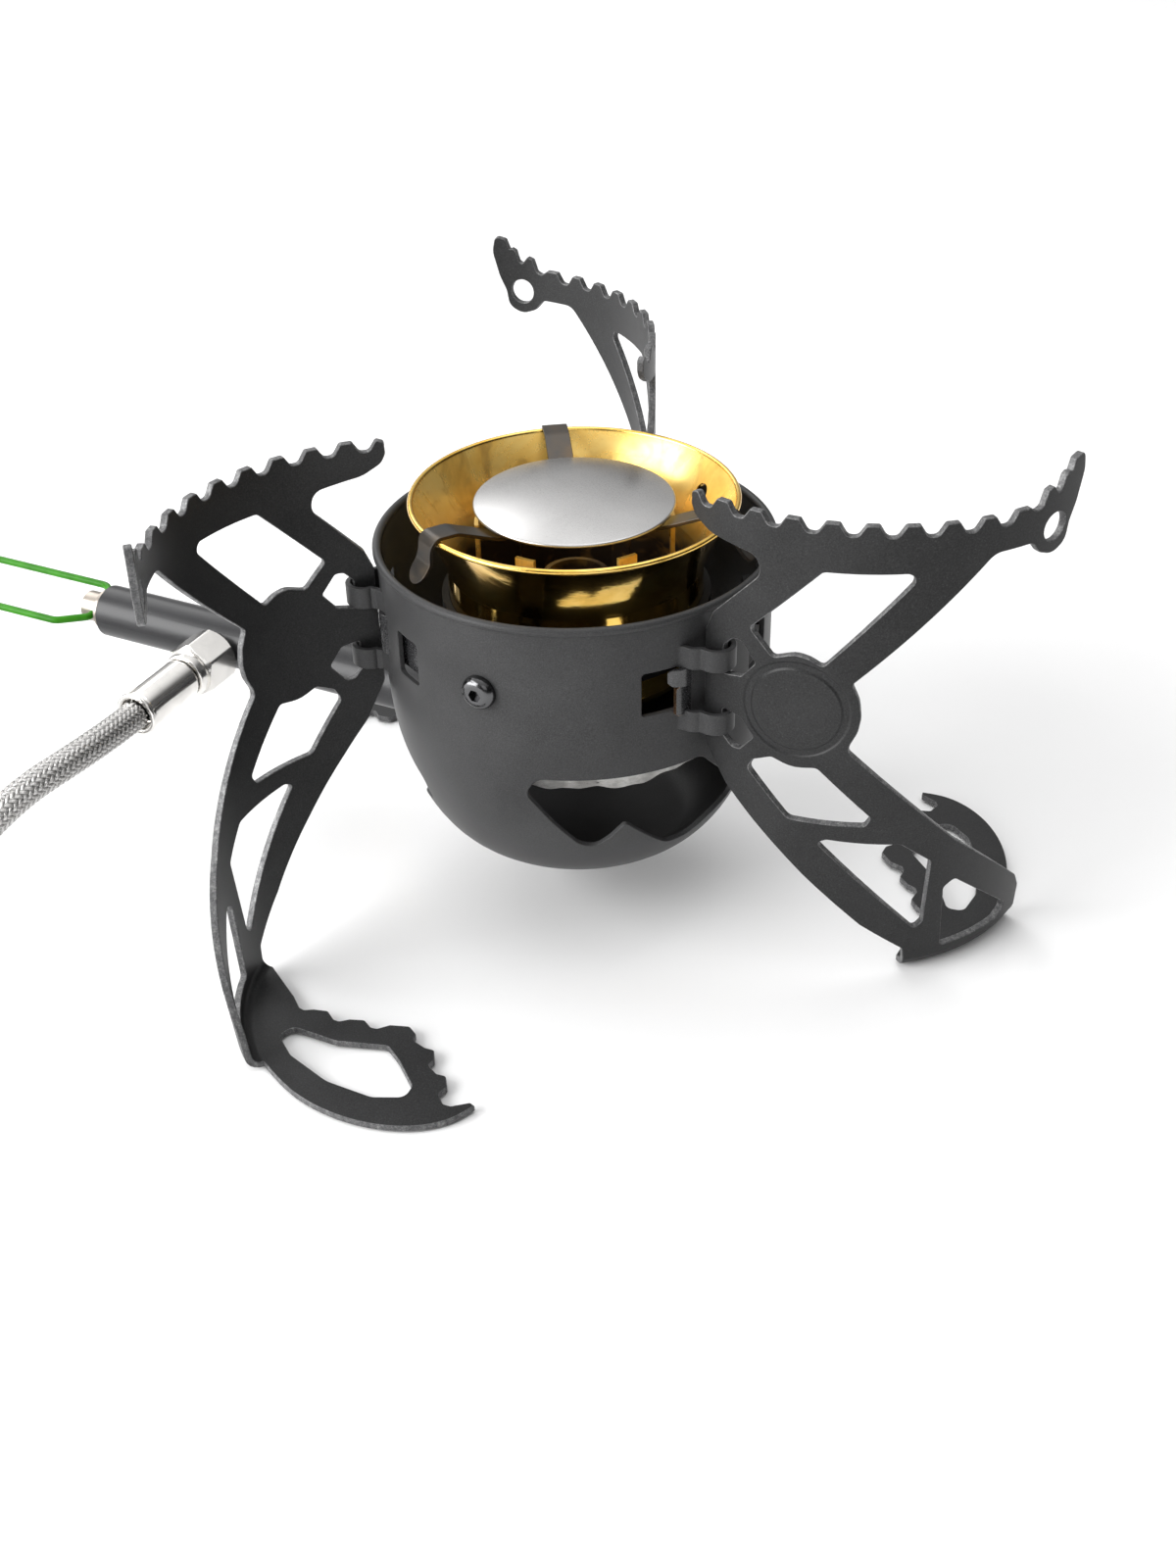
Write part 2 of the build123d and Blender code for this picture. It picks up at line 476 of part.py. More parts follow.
spindle = cyl_along(3.0, at(84), TD, TUBE_END + 1.3 - 84 + 0.2)
spindle = spindle + Plane(origin=at(84), z_dir=TD * -1) * Cone(3.0, 0.6, 9, align=(Align.CENTER, Align.CENTER, Align.MIN))
knob = cyl_along(3.9, at(TUBE_END + 1.3), TD, 5.2)
knob = chamfer([e for e in knob.edges() if e.geom_type == GeomType.CIRCLE], 0.35)
spindle = spindle + knob - cyl_along(1.02, at(CROSS_S, -8), LD, 16)
save(spindle, "valve_spindle")

# wire handle: one bent wire, both ends in the cross hole
hp = [(CROSS_S, 1.4), (CROSS_S, 5.3), (CROSS_S + 6.6, 10.4), (198.0, 10.4), (198.0, -10.4), (CROSS_S + 6.6, -10.4), (CROSS_S, -5.3), (CROSS_S, -1.4)]
path = FilletPolyline(*[at(s, v) for s, v in hp], radius=[1.6, 4.0, 8.5, 8.5, 4.0, 1.6])
prof = Plane(origin=path @ 0, z_dir=path % 0) * Circle(WIRE_R)
save(sweep(prof, path=path), "control_handle")

# ---------------------------------------------------------------- hose
hexn = Plane(origin=at(INLET_S, 7.0), x_dir=TD, z_dir=LD) * extrude(RegularPolygon(NUT_AF / 2, 6, major_radius=False), 10.4)
lim = Plane(origin=at(INLET_S, 7.0), x_dir=TD, z_dir=LD)
body = lim * Cylinder(7.0, 10.4, align=(Align.CENTER, Align.CENTER, Align.MIN))
body = chamfer([e for e in body.edges() if e.geom_type == GeomType.CIRCLE], 0.9)
hexn = (hexn & body) + cyl_along(5.7, at(INLET_S, 17.4), LD, 3.0)
hexn = hexn - cyl_along(4.65, at(INLET_S, 6.0), LD, 3.45) - cyl_along(2.0, at(INLET_S, 6.0), LD, 20)
hexn = hexn - cyl_along(TUBE_R + 0.05, at(INLET_S - 12), TD, 24)
save(hexn, "hose_nut")
fer = cyl_along(5.1, at(INLET_S, 20.4), LD, 18.3)
fer = fillet([e for e in fer.edges() if e.geom_type == GeomType.CIRCLE and (e.arc_center - at(INLET_S, 38.7)).length < 0.1], 0.6)
save(fer, "hose_ferrule")

# the route: out of the ferrule, down to the ground, into a coil
CX, CY, HEAD = -190.0, -2.0, 197.0
COIL_C = Vector(CX, CY, 0)
right_n = Vector(math.sin(rad(HEAD)), -math.cos(rad(HEAD)), 0)
Q = COIL_C - right_n * COIL_R + Vector(0, 0, HOSE_R * 3)
P0 = at(INLET_S, 38.7)
ROUTE = [P0, P0 + LD * 8.08, Vector(-115.49, -7.05, 37.25), Vector(-126.23, -16.45, 34.39), Vector(-137.75, -25.51, 26.31),
         Vector(-154.14, -29.91, 14.88), Vector(-166.64, -33.55, 10.8), Q]


def tube_along(points, r, name):
    radii = []
    for i in range(1, len(points) - 1):
        u, v = points[i] - points[i - 1], points[i + 1] - points[i]
        turn = rad(u.get_angle(v))
        radii.append(0.45 * min(u.length, v.length) / math.tan(turn / 2))
    print(name, "radii", [round(x, 1) for x in radii], "runs", [round((points[i + 1] - points[i]).length, 1) for i in range(len(points) - 1)])
    p = FilletPolyline(*points, radius=radii)
    s = sweep(Plane(origin=p @ 0, z_dir=p % 0) * Circle(r), path=p)
    print(name, "length", round(p.length, 1), "volume", round(s.volume, 1), "section x length", round(math.pi * r * r * p.length, 1))
    return s


save(tube_along(ROUTE, HOSE_R, "hose_tube"), "hose_tube")

sect = face([(COIL_R - HOSE_R, 0), (COIL_R + HOSE_R, 0), (COIL_R + HOSE_R, 4 * HOSE_R), (COIL_R - HOSE_R, 4 * HOSE_R)], HOSE_R * 0.98)
coil = revolve(Plane.XZ * sect, Axis.Z)
save(Pos(CX, CY, 0) * coil, "hose_coil")

# end of the coil: 140 degrees past the start, then straight into the coupling
EXIT = 140.0
h2 = HEAD - EXIT
n2 = Vector(math.sin(rad(h2)), -math.cos(rad(h2)), 0)
D2 = pol(1, h2)
E0 = COIL_C - n2 * COIL_R + Vector(0, 0, HOSE_R)
ZC = NUT_AF / 2 + 0.1
TAIL = [E0, E0 + D2 * 12.0 + n2 * -0.35 + Vector(0, 0, 0.4), E0 + D2 * 24.0 + n2 * -0.35 + Vector(0, 0, ZC - HOSE_R), E0 + D2 * 36.0 + Vector(0, 0, ZC - HOSE_R)]
tail = TAIL
d_end = (tail[-1] - tail[-2]).normalized()
save(tube_along(tail, HOSE_R, "hose_tail"), "hose_tail")
F0 = tail[-1]
cf = cyl_along(5.1, F0, d_end, 18.0)
save(cf, "coupling_ferrule")
N0 = F0 + d_end * 18.0
npl = Plane(origin=N0, x_dir=Vector(0, 0, 1), z_dir=d_end)
cn = npl * extrude(Rot(0, 0, 30) * RegularPolygon(NUT_AF / 2, 6, major_radius=False), 12.0)
cb = npl * Cylinder(7.0, 12.0, align=(Align.CENTER, Align.CENTER, Align.MIN))
cb = chamfer([e for e in cb.edges() if e.geom_type == GeomType.CIRCLE], 0.9)
cn = (cn & cb) - cyl_along(4.0, N0 + d_end * 3.0, d_end, 12)
save(cn, "coupling_nut")

tie_a = HEAD - 15.0
tn = Vector(math.sin(rad(tie_a)), -math.cos(rad(tie_a)), 0)
tc = COIL_C - tn * COIL_R
tpl = Plane(origin=tc - pol(2.2, tie_a), x_dir=tn, z_dir=pol(1, tie_a))
outer_t = face([(-4.4, 0.0), (4.4, 0.0), (4.4, 15.4), (-4.4, 15.4)], [0, 0, 4.2, 4.2])
print("tie plane y", tpl.y_dir)
tie = extrude(tpl * outer_t, 4.4) if tpl.y_dir.Z > 0 else extrude(tpl * Rot(0, 0, 180) * outer_t, 4.4)
grown = revolve(Plane.XZ * face([(COIL_R - HOSE_R - 0.05, -3), (COIL_R + HOSE_R + 0.05, -3), (COIL_R + HOSE_R + 0.05, 4 * HOSE_R + 0.05), (COIL_R - HOSE_R - 0.05, 4 * HOSE_R + 0.05)],
                                [0, 0, HOSE_R * 0.98, HOSE_R * 0.98]), Axis.Z)
tie = tie - Pos(CX, CY, 0) * grown
save(tie, "hose_tie")
print("hinge", [tuple(round(x, 3) for x in pol(HINGE_R, HINGE_AZ + 120 * k)) for k in range(3)])
print("leg centre", LEG_C)
print("cross", at(CROSS_S), "tube dir", TD, "lat", LD)
print("coupling nut mouth", N0 + d_end * 12, "dir", d_end, "Q", Q, "E0", E0, "F0", F0)
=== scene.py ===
import bpy
import math
import numpy as np
from mathutils import Matrix, Vector, geometry, noise


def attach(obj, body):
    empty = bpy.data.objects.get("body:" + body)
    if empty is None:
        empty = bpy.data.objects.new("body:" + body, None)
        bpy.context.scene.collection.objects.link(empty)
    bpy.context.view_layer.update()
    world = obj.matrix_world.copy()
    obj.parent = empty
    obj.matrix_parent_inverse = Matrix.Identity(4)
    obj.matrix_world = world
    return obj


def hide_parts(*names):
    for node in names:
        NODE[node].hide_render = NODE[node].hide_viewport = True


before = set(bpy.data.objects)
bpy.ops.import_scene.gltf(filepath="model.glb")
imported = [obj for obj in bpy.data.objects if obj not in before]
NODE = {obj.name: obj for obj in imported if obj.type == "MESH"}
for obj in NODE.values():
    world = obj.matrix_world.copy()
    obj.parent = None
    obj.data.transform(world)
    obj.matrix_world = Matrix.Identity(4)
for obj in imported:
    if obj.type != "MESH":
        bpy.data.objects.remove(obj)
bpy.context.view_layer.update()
SCENE = bpy.context.scene
SCENE.view_settings.view_transform = "Standard"

# ---------------------------------------------------------------- dimensions, millimetres
CUP_R, CUP_T, CUP_Z1, CUP_ZB, CUP_FLAT, CUP_N = 43.0, 1.2, 65.0, 16.0, 20.0, 2.3
BEAD_R, BEAD_Z, BEAD_C = 0.95, 87.35, 42.95
WIN_AZ = (-77.0, 43.0, 163.0)
SCREW_AZ, SCREW_Z = (-118.0, 2.0, 122.0), 71.3
SLOT_AZ, SLOT_Z = ((-72.5, -60.6), (-32.2, -21.5)), (66.0, 76.0)
HINGE_R, HINGE_AZ = 46.2, -52.3
HOOK_RI, HOOK_T, HOOK_H, HOOK_Z = 2.85, 1.2, 5.0, (60.7, 75.7)
LEG_R, LEG_T, LEG_TH_H, FOLD_R = 49.0, 1.6, -133.6, 3.0
TOOTH_Z, NOTCH_Z = 112.8, 110.4
HUB_TH, HUB_Z, HUB_R = -112.0, 70.7, 13.2
TUBE_AZ, TUBE_Z, TUBE_R, TUBE_END = 153.0, 38.0, 6.6, 136.0
CROSS_S, WIRE_R, INLET_S, NUT_AF, HOSE_R = 138.7, 0.95, 97.8, 12.6, 3.6
COIL_R, COIL_C, HEAD = 37.0, (-190.0, -2.0), 197.0


def rad(a):
    return math.radians(a)


def pol(r, a, z=0.0):
    return np.array((r * math.cos(rad(a)), r * math.sin(rad(a)), z))


TD, LD = pol(1, TUBE_AZ), pol(1, TUBE_AZ + 90)


def at(s, v=0.0, z=TUBE_Z):
    return TD * s + LD * v + np.array((0, 0, z))


# ---------------------------------------------------------------- camera
def make_camera():
    c, t = np.array((1.54, -363.95, 269.36)), np.array((1.54, 0.0, 21.95))
    fw = (t - c) / np.linalg.norm(t - c)
    rt = np.array((1.0, 0, 0))
    up = np.cross(rt, fw)
    roll = -0.0231
    rt2 = math.cos(roll) * rt + math.sin(roll) * up
    up2 = -math.sin(roll) * rt + math.cos(roll) * up
    data = bpy.data.cameras.new("camera")
    data.lens, data.sensor_width, data.sensor_fit = 42.75, 36.0, "AUTO"
    data.clip_start, data.clip_end = 0.01, 50.0
    cam = bpy.data.objects.new("camera", data)
    m = Matrix.Identity(4)
    for i in range(3):
        m[i][0], m[i][1], m[i][2], m[i][3] = rt2[i], up2[i], -fw[i], c[i] / 1000
    cam.matrix_world = m
    SCENE.collection.objects.link(cam)
    SCENE.camera = cam


make_camera()


# ---------------------------------------------------------------- node helpers
def new_mat(name):
    m = bpy.data.materials.new(name)
    m.use_nodes = True
    return m, m.node_tree, m.node_tree.nodes["Principled BSDF"]


def add(nt, kind, **values):
    n = nt.nodes.new(kind)
    for k, v in values.items():
        if k in n.inputs:
            n.inputs[k].default_value = v
        else:
            setattr(n, k, v)
    return n


def put(nt, a, b):
    nt.links.new(a, b)


def coords(nt, scale=(1, 1, 1), rot=(0, 0, 0)):
    tc = add(nt, "ShaderNodeTexCoord")
    mp = add(nt, "ShaderNodeMapping")
    mp.inputs["Scale"].default_value = scale
    mp.inputs["Rotation"].default_value = rot
    put(nt, tc.outputs["Object"], mp.inputs["Vector"])
    return mp.outputs["Vector"]


def noise_node(nt, vec, scale, detail=3.0, rough=0.55, distortion=0.0):
    n = add(nt, "ShaderNodeTexNoise")
    n.inputs["Scale"].default_value = scale
    n.inputs["Detail"].default_value = detail
    n.inputs["Roughness"].default_value = rough
    n.inputs["Distortion"].default_value = distortion
    put(nt, vec, n.inputs["Vector"])
    return n.outputs["Fac"]


def ramp(nt, fac, stops):
    r = add(nt, "ShaderNodeValToRGB")
    e = r.color_ramp.elements
    while len(e) < len(stops):
        e.new(0.5)
    for i, (p, c) in enumerate(stops):
        e[i].position = p
        e[i].color = (*c, 1.0) if len(c) == 3 else c
    put(nt, fac, r.inputs["Fac"])
    return r.outputs["Color"]


def span(nt, fac, lo, hi, a=0.0, b=1.0):
    m = add(nt, "ShaderNodeMapRange")
    m.inputs["From Min"].default_value = a
    m.inputs["From Max"].default_value = b
    m.inputs["To Min"].default_value = lo
    m.inputs["To Max"].default_value = hi
    put(nt, fac, m.inputs["Value"])
    return m.outputs["Result"]


def mixc(nt, fac, a, b, mode="MIX"):
    m = add(nt, "ShaderNodeMix", data_type="RGBA", blend_type=mode)
    if isinstance(fac, (int, float)):
        m.inputs["Factor"].default_value = fac
    else:
        put(nt, fac, m.inputs["Factor"])
    for sock, v in ((m.inputs[6], a), (m.inputs[7], b)):
        if isinstance(v, tuple):
            sock.default_value = (*v, 1.0)
        else:
            put(nt, v, sock)
    return m.outputs[2]


def math_(nt, op, a, b=None):
    m = add(nt, "ShaderNodeMath", operation=op)
    for i, v in enumerate((a, b)):
        if v is None:
            continue
        if isinstance(v, (int, float)):
            m.inputs[i].default_value = v
        else:
            put(nt, v, m.inputs[i])
    return m.outputs[0]


def bump(nt, b, height, strength, distance, normal=None):
    n = add(nt, "ShaderNodeBump")
    n.inputs["Strength"].default_value = strength
    n.inputs["Distance"].default_value = distance
    put(nt, height, n.inputs["Height"])
    if normal is not None:
        put(nt, normal, n.inputs["Normal"])
    put(nt, n.outputs["Normal"], b.inputs["Normal"])
    return n.outputs["Normal"]


# ---------------------------------------------------------------- materials
def satin_coat(name, dark, light, r0, r1, grain=3800.0, spec=0.5, sparkle=0.0):
    """Hard-anodised or powdered dark coat: fine grain, faint cloudiness, small scuffs."""
    m, nt, b = new_mat(name)
    v = coords(nt)
    fine = noise_node(nt, v, grain, 2.0, 0.6)
    cloud = noise_node(nt, v, 45.0, 4.0, 0.55, 0.4)
    mix = math_(nt, "ADD", math_(nt, "MULTIPLY", fine, 0.62), math_(nt, "MULTIPLY", cloud, 0.38))
    col = ramp(nt, mix, [(0.36, dark), (0.66, light)])
    if sparkle:
        speck = ramp(nt, fine, [(0.66, (0, 0, 0)), (0.74, (1, 1, 1))])
        col = mixc(nt, math_(nt, "MULTIPLY", speck, sparkle), col, tuple(min(1.0, 3.2 * x) for x in light))
    put(nt, col, b.inputs["Base Color"])
    put(nt, span(nt, mix, r0, r1, 0.35, 0.65), b.inputs["Roughness"])
    b.inputs["Metallic"].default_value = 0.0
    b.inputs["Specular IOR Level"].default_value = spec
    bump(nt, b, fine, 0.22, 0.00004)
    return m


M_CUP = satin_coat("coat_cup", (0.031, 0.031, 0.0316), (0.057, 0.057, 0.058), 0.36, 0.46, 3600.0, 0.22, 0.10)
M_LEG = satin_coat("coat_leg", (0.012, 0.012, 0.0123), (0.031, 0.031, 0.0316), 0.34, 0.46, 3000.0, 0.22, 0.22)
M_TUBE = satin_coat("coat_tube", (0.014, 0.014, 0.015), (0.026, 0.026, 0.028), 0.30, 0.38, 4200.0, 0.36)


def cut_edge():
    """Laser-cut edge of the plate under a thin coat: greyer, rough, speckled."""
    m, nt, b = new_mat("coat_leg_edge")
    v = coords(nt)
    fine = noise_node(nt, v, 2600.0, 3.0, 0.65)
    streak = noise_node(nt, coords(nt, (1, 1, 0.35)), 900.0, 2.0, 0.5)
    mix = math_(nt, "ADD", math_(nt, "MULTIPLY", fine, 0.6), math_(nt, "MULTIPLY", streak, 0.4))
    put(nt, ramp(nt, mix, [(0.36, (0.045, 0.045, 0.046)), (0.52, (0.105, 0.105, 0.107)), (0.68, (0.24, 0.24, 0.237))]), b.inputs["Base Color"])
    put(nt, span(nt, mix, 0.55, 0.38, 0.35, 0.65), b.inputs["Roughness"])
    b.inputs["Metallic"].default_value = 0.25
    bump(nt, b, fine, 0.35, 0.00006)
    return m


M_EDGE = cut_edge()


def brass(name, dark_low, r0, r1):
    """Polished brass with heat stains; inside the bowl, painted shade turns it dark brown towards the floor under the
    disc.
    """
    m, nt, b = new_mat(name)
    v = coords(nt)
    big = noise_node(nt, v, 60.0, 5.0, 0.62, 0.8)
    tiny = noise_node(nt, coords(nt, (1, 1, 0.12)), 1500.0, 2.0, 0.5)
    col = ramp(nt, big, [(0.38, (0.96, 0.67, 0.20)), (0.54, (0.88, 0.55, 0.12)), (0.70, (0.66, 0.36, 0.06))])
    rough = math_(nt, "ADD", span(nt, big, r0, r1, 0.40, 0.72), math_(nt, "MULTIPLY", tiny, 0.05))
    if dark_low:
        # painted shade: below about 82 to 90 mm the colour goes dark brown and rougher, standing in for the shade under
        # the disc
        sep = add(nt, "ShaderNodeSeparateXYZ")
        put(nt, v, sep.inputs[0])
        edge = math_(nt, "ADD", sep.outputs["Z"], math_(nt, "MULTIPLY", big, 0.010))
        painted_shade = span(nt, edge, 1.0, 0.0, 0.0815, 0.0900)
        col = mixc(nt, painted_shade, col, (0.045, 0.028, 0.016))
        rough = math_(nt, "ADD", rough, math_(nt, "MULTIPLY", painted_shade, 0.32))
        patch = noise_node(nt, v, 130.0, 3.0, 0.6, 1.0)
        col = mixc(nt, span(nt, patch, 0.0, 0.55, 0.56, 0.72), col, (0.40, 0.22, 0.05))
    put(nt, col, b.inputs["Base Color"])
    put(nt, rough, b.inputs["Roughness"])
    b.inputs["Metallic"].default_value = 0.48 if dark_low else 1.0
    bump(nt, b, big, 0.08 if dark_low else 0.16, 0.0005)
    return m


M_BRASS = brass("brass_polished", False, 0.06, 0.13)
# inside of the bowl, with painted shade towards its floor
M_BRASS_IN = brass("brass_inside", True, 0.22, 0.36)
M_BRASS_RIM = brass("brass_rim", False, 0.16, 0.24)


def raw_edge():
    """Raw cut steel with a bronze heat tint and fine sparkle."""
    m, nt, b = new_mat("steel_raw_edge")
    v = coords(nt)
    fine = noise_node(nt, v, 3200.0, 3.0, 0.7)
    put(nt, ramp(nt, fine, [(0.34, (0.16, 0.08, 0.04)), (0.52, (0.42, 0.25, 0.15)), (0.66, (0.75, 0.56, 0.42))]), b.inputs["Base Color"])
    put(nt, span(nt, fine, 0.45, 0.25, 0.3, 0.7), b.inputs["Roughness"])
    b.inputs["Metallic"].default_value = 1.0
    bump(nt, b, fine, 0.5, 0.00006)
    return m


M_RAW = raw_edge()


def brushed(name, base, dark, r0, r1, scale=(1, 14, 14), strength=0.06, aniso=0.5):
    """Brushed steel: long fine scratches along one direction."""
    m, nt, b = new_mat(name)
    v = coords(nt, scale)
    lines = noise_node(nt, v, 1400.0, 3.0, 0.6)
    cloud = noise_node(nt, coords(nt), 60.0, 4.0, 0.5, 0.3)
    put(nt, mixc(nt, span(nt, cloud, 0.0, 1.0, 0.38, 0.68), dark, base), b.inputs["Base Color"])
    put(nt, math_(nt, "ADD", span(nt, lines, r0, r1, 0.3, 0.7), span(nt, cloud, -0.01, 0.01, 0.35, 0.65)), b.inputs["Roughness"])
    b.inputs["Metallic"].default_value = 1.0
    bump(nt, b, lines, strength, 0.00003)
    return m


M_STEEL = brushed("steel_brushed", (0.54, 0.535, 0.53), (0.49, 0.485, 0.48), 0.24, 0.35)
# near-black, painted shade for the parts inside the cup: bracket, pad tray and screw nuts
M_SHADE_BLACK = satin_coat("shade_black", (0.004, 0.004, 0.004), (0.010, 0.0095, 0.009), 0.55, 0.70, 1800.0, 0.2)
M_DARKSTEEL = satin_coat("steel_black", (0.016, 0.016, 0.017), (0.04, 0.04, 0.042), 0.20, 0.30, 2500.0, 0.7)


def heat_steel():
    """Stainless strip with heat tint: straw, bronze and a little blue."""
    m, nt, b = new_mat("steel_heat_tint")
    v = coords(nt)
    big = noise_node(nt, v, 95.0, 4.0, 0.6, 0.5)
    fine = noise_node(nt, v, 2600.0, 2.0, 0.6)
    put(nt, ramp(nt, big, [(0.34, (0.066, 0.063, 0.060)), (0.50, (0.086, 0.074, 0.062)), (0.62, (0.112, 0.086, 0.062)), (0.74, (0.058, 0.050, 0.044))]), b.inputs["Base Color"])
    put(nt, math_(nt, "ADD", span(nt, big, 0.28, 0.40, 0.3, 0.7), math_(nt, "MULTIPLY", fine, 0.08)), b.inputs["Roughness"])
    b.inputs["Metallic"].default_value = 1.0
    bump(nt, b, fine, 0.12, 0.00004)
    return m


M_HEAT = heat_steel()


def nickel(name, base, r0, r1):
    """Bright nickel plate, softly uneven, with handling marks."""
    m, nt, b = new_mat(name)
    v = coords(nt)
    cloud = noise_node(nt, v, 160.0, 4.0, 0.55, 0.6)
    fine = noise_node(nt, v, 3000.0, 2.0, 0.6)
    put(nt, mixc(nt, span(nt, cloud, 0.0, 1.0, 0.35, 0.7), base, tuple(0.88 * x for x in base)), b.inputs["Base Color"])
    put(nt, math_(nt, "ADD", span(nt, cloud, r0, r1, 0.35, 0.65), math_(nt, "MULTIPLY", fine, 0.05)), b.inputs["Roughness"])
    b.inputs["Metallic"].default_value = 1.0
    bump(nt, b, cloud, 0.05, 0.0003)
    return m


M_NICKEL = nickel("nickel_bright", (0.90, 0.88, 0.85), 0.10, 0.18)
M_SCREW = nickel("screw_black", (0.115, 0.115, 0.118), 0.14, 0.22)
M_NICKEL2 = nickel("nickel_satin", (0.37, 0.33, 0.29), 0.28, 0.36)


def green_wire():
    m, nt, b = new_mat("wire_green")
    v = coords(nt)
    cloud = noise_node(nt, v, 220.0, 3.0, 0.5)
    fine = noise_node(nt, v, 4200.0, 2.0, 0.6)
    put(nt, ramp(nt, cloud, [(0.35, (0.022, 0.150, 0.004)), (0.65, (0.036, 0.210, 0.008))]), b.inputs["Base Color"])
    put(nt, span(nt, fine, 0.30, 0.42, 0.3, 0.7), b.inputs["Roughness"])
    b.inputs["Metallic"].default_value = 0.0
    b.inputs["Specular IOR Level"].default_value = 0.14
    bump(nt, b, fine, 0.08, 0.00003)
    return m


M_GREEN = green_wire()


def fibre():
    """White woven glass-fibre pad with soft fuzz and a sooty lower edge."""
    m, nt, b = new_mat("fibre_pad")
    v = coords(nt)
    strands = noise_node(nt, coords(nt, (1, 1, 3)), 700.0, 5.0, 0.7, 1.2)
    big = noise_node(nt, v, 120.0, 3.0, 0.6)
    sep = add(nt, "ShaderNodeSeparateXYZ")
    put(nt, v, sep.inputs[0])
    dark_low = math_(nt, "MULTIPLY", span(nt, sep.outputs["Z"], 1.0, 0.0, 0.0462, 0.0492), span(nt, big, 0.2, 1.0, 0.35, 0.6))
    white = ramp(nt, strands, [(0.30, (0.62, 0.61, 0.58)), (0.62, (0.90, 0.895, 0.87))])
    put(nt, mixc(nt, math_(nt, "MULTIPLY", dark_low, 0.75), white, (0.16, 0.15, 0.14)), b.inputs["Base Color"])
    b.inputs["Roughness"].default_value = 0.95
    b.inputs["Sheen Weight"].default_value = 0.35
    bump(nt, b, strands, 0.8, 0.0004)
    return m


M_PAD = fibre()


def rubber():
    m, nt, b = new_mat("rubber_black")
    v = coords(nt)
    n = noise_node(nt, v, 1500.0, 3.0, 0.6)
    put(nt, ramp(nt, n, [(0.3, (0.012, 0.012, 0.012)), (0.7, (0.030, 0.030, 0.030))]), b.inputs["Base Color"])
    put(nt, span(nt, n, 0.5, 0.7, 0.3, 0.7), b.inputs["Roughness"])
    bump(nt, b, n, 0.3, 0.00008)
    return m


M_RUBBER = rubber()


def braid_mat():
    """Stainless braid: fine wires side by side in each strand. The map holds the two strand counts."""
    m, nt, b = new_mat("steel_braid")
    uv = add(nt, "ShaderNodeUVMap", uv_map="braid")
    sep = add(nt, "ShaderNodeSeparateXYZ")
    put(nt, uv.outputs[0], sep.inputs[0])
    u, w = sep.outputs["X"], sep.outputs["Y"]
    tot = math_(nt, "ADD", math_(nt, "FLOOR", u), math_(nt, "FLOOR", w))
    over = math_(nt, "LESS_THAN", math_(nt, "FLOORED_MODULO", tot, 4.0), 1.5)
    fu = math_(nt, "FRACT", math_(nt, "MULTIPLY", u, 5.0))
    fw = math_(nt, "FRACT", math_(nt, "MULTIPLY", w, 5.0))
    pick = add(nt, "ShaderNodeMix", data_type="FLOAT")
    put(nt, over, pick.inputs[0])
    put(nt, fw, pick.inputs[2])
    put(nt, fu, pick.inputs[3])
    f = pick.outputs[0]
    d = math_(nt, "ABSOLUTE", math_(nt, "SUBTRACT", f, 0.5))
    wire = math_(nt, "SQRT", math_(nt, "SUBTRACT", 0.26, math_(nt, "MULTIPLY", d, d)))
    groove = span(nt, d, 0.0, 1.0, 0.36, 0.5)
    side = add(nt, "ShaderNodeMix", data_type="FLOAT")
    put(nt, over, side.inputs[0])
    put(nt, math_(nt, "FRACT", w), side.inputs[2])
    put(nt, math_(nt, "FRACT", u), side.inputs[3])
    rim = span(nt, math_(nt, "ABSOLUTE", math_(nt, "SUBTRACT", side.outputs[0], 0.5)), 0.0, 1.0, 0.33, 0.5)
    n = noise_node(nt, coords(nt), 900.0, 2.0, 0.6)
    col = mixc(nt, span(nt, n, 0.0, 1.0, 0.35, 0.7), (0.62, 0.61, 0.60), (0.48, 0.47, 0.455))
    # painted shade: darker in the grooves between the wires
    col = mixc(nt, math_(nt, "MULTIPLY", groove, 0.7), col, (0.12, 0.12, 0.12))
    put(nt, mixc(nt, rim, col, (0.035, 0.034, 0.033)), b.inputs["Base Color"])
    put(nt, span(nt, n, 0.20, 0.32, 0.3, 0.7), b.inputs["Roughness"])
    b.inputs["Metallic"].default_value = 1.0
    bump(nt, b, wire, 0.9, 0.00012)
    return m


M_BRAID = braid_mat()


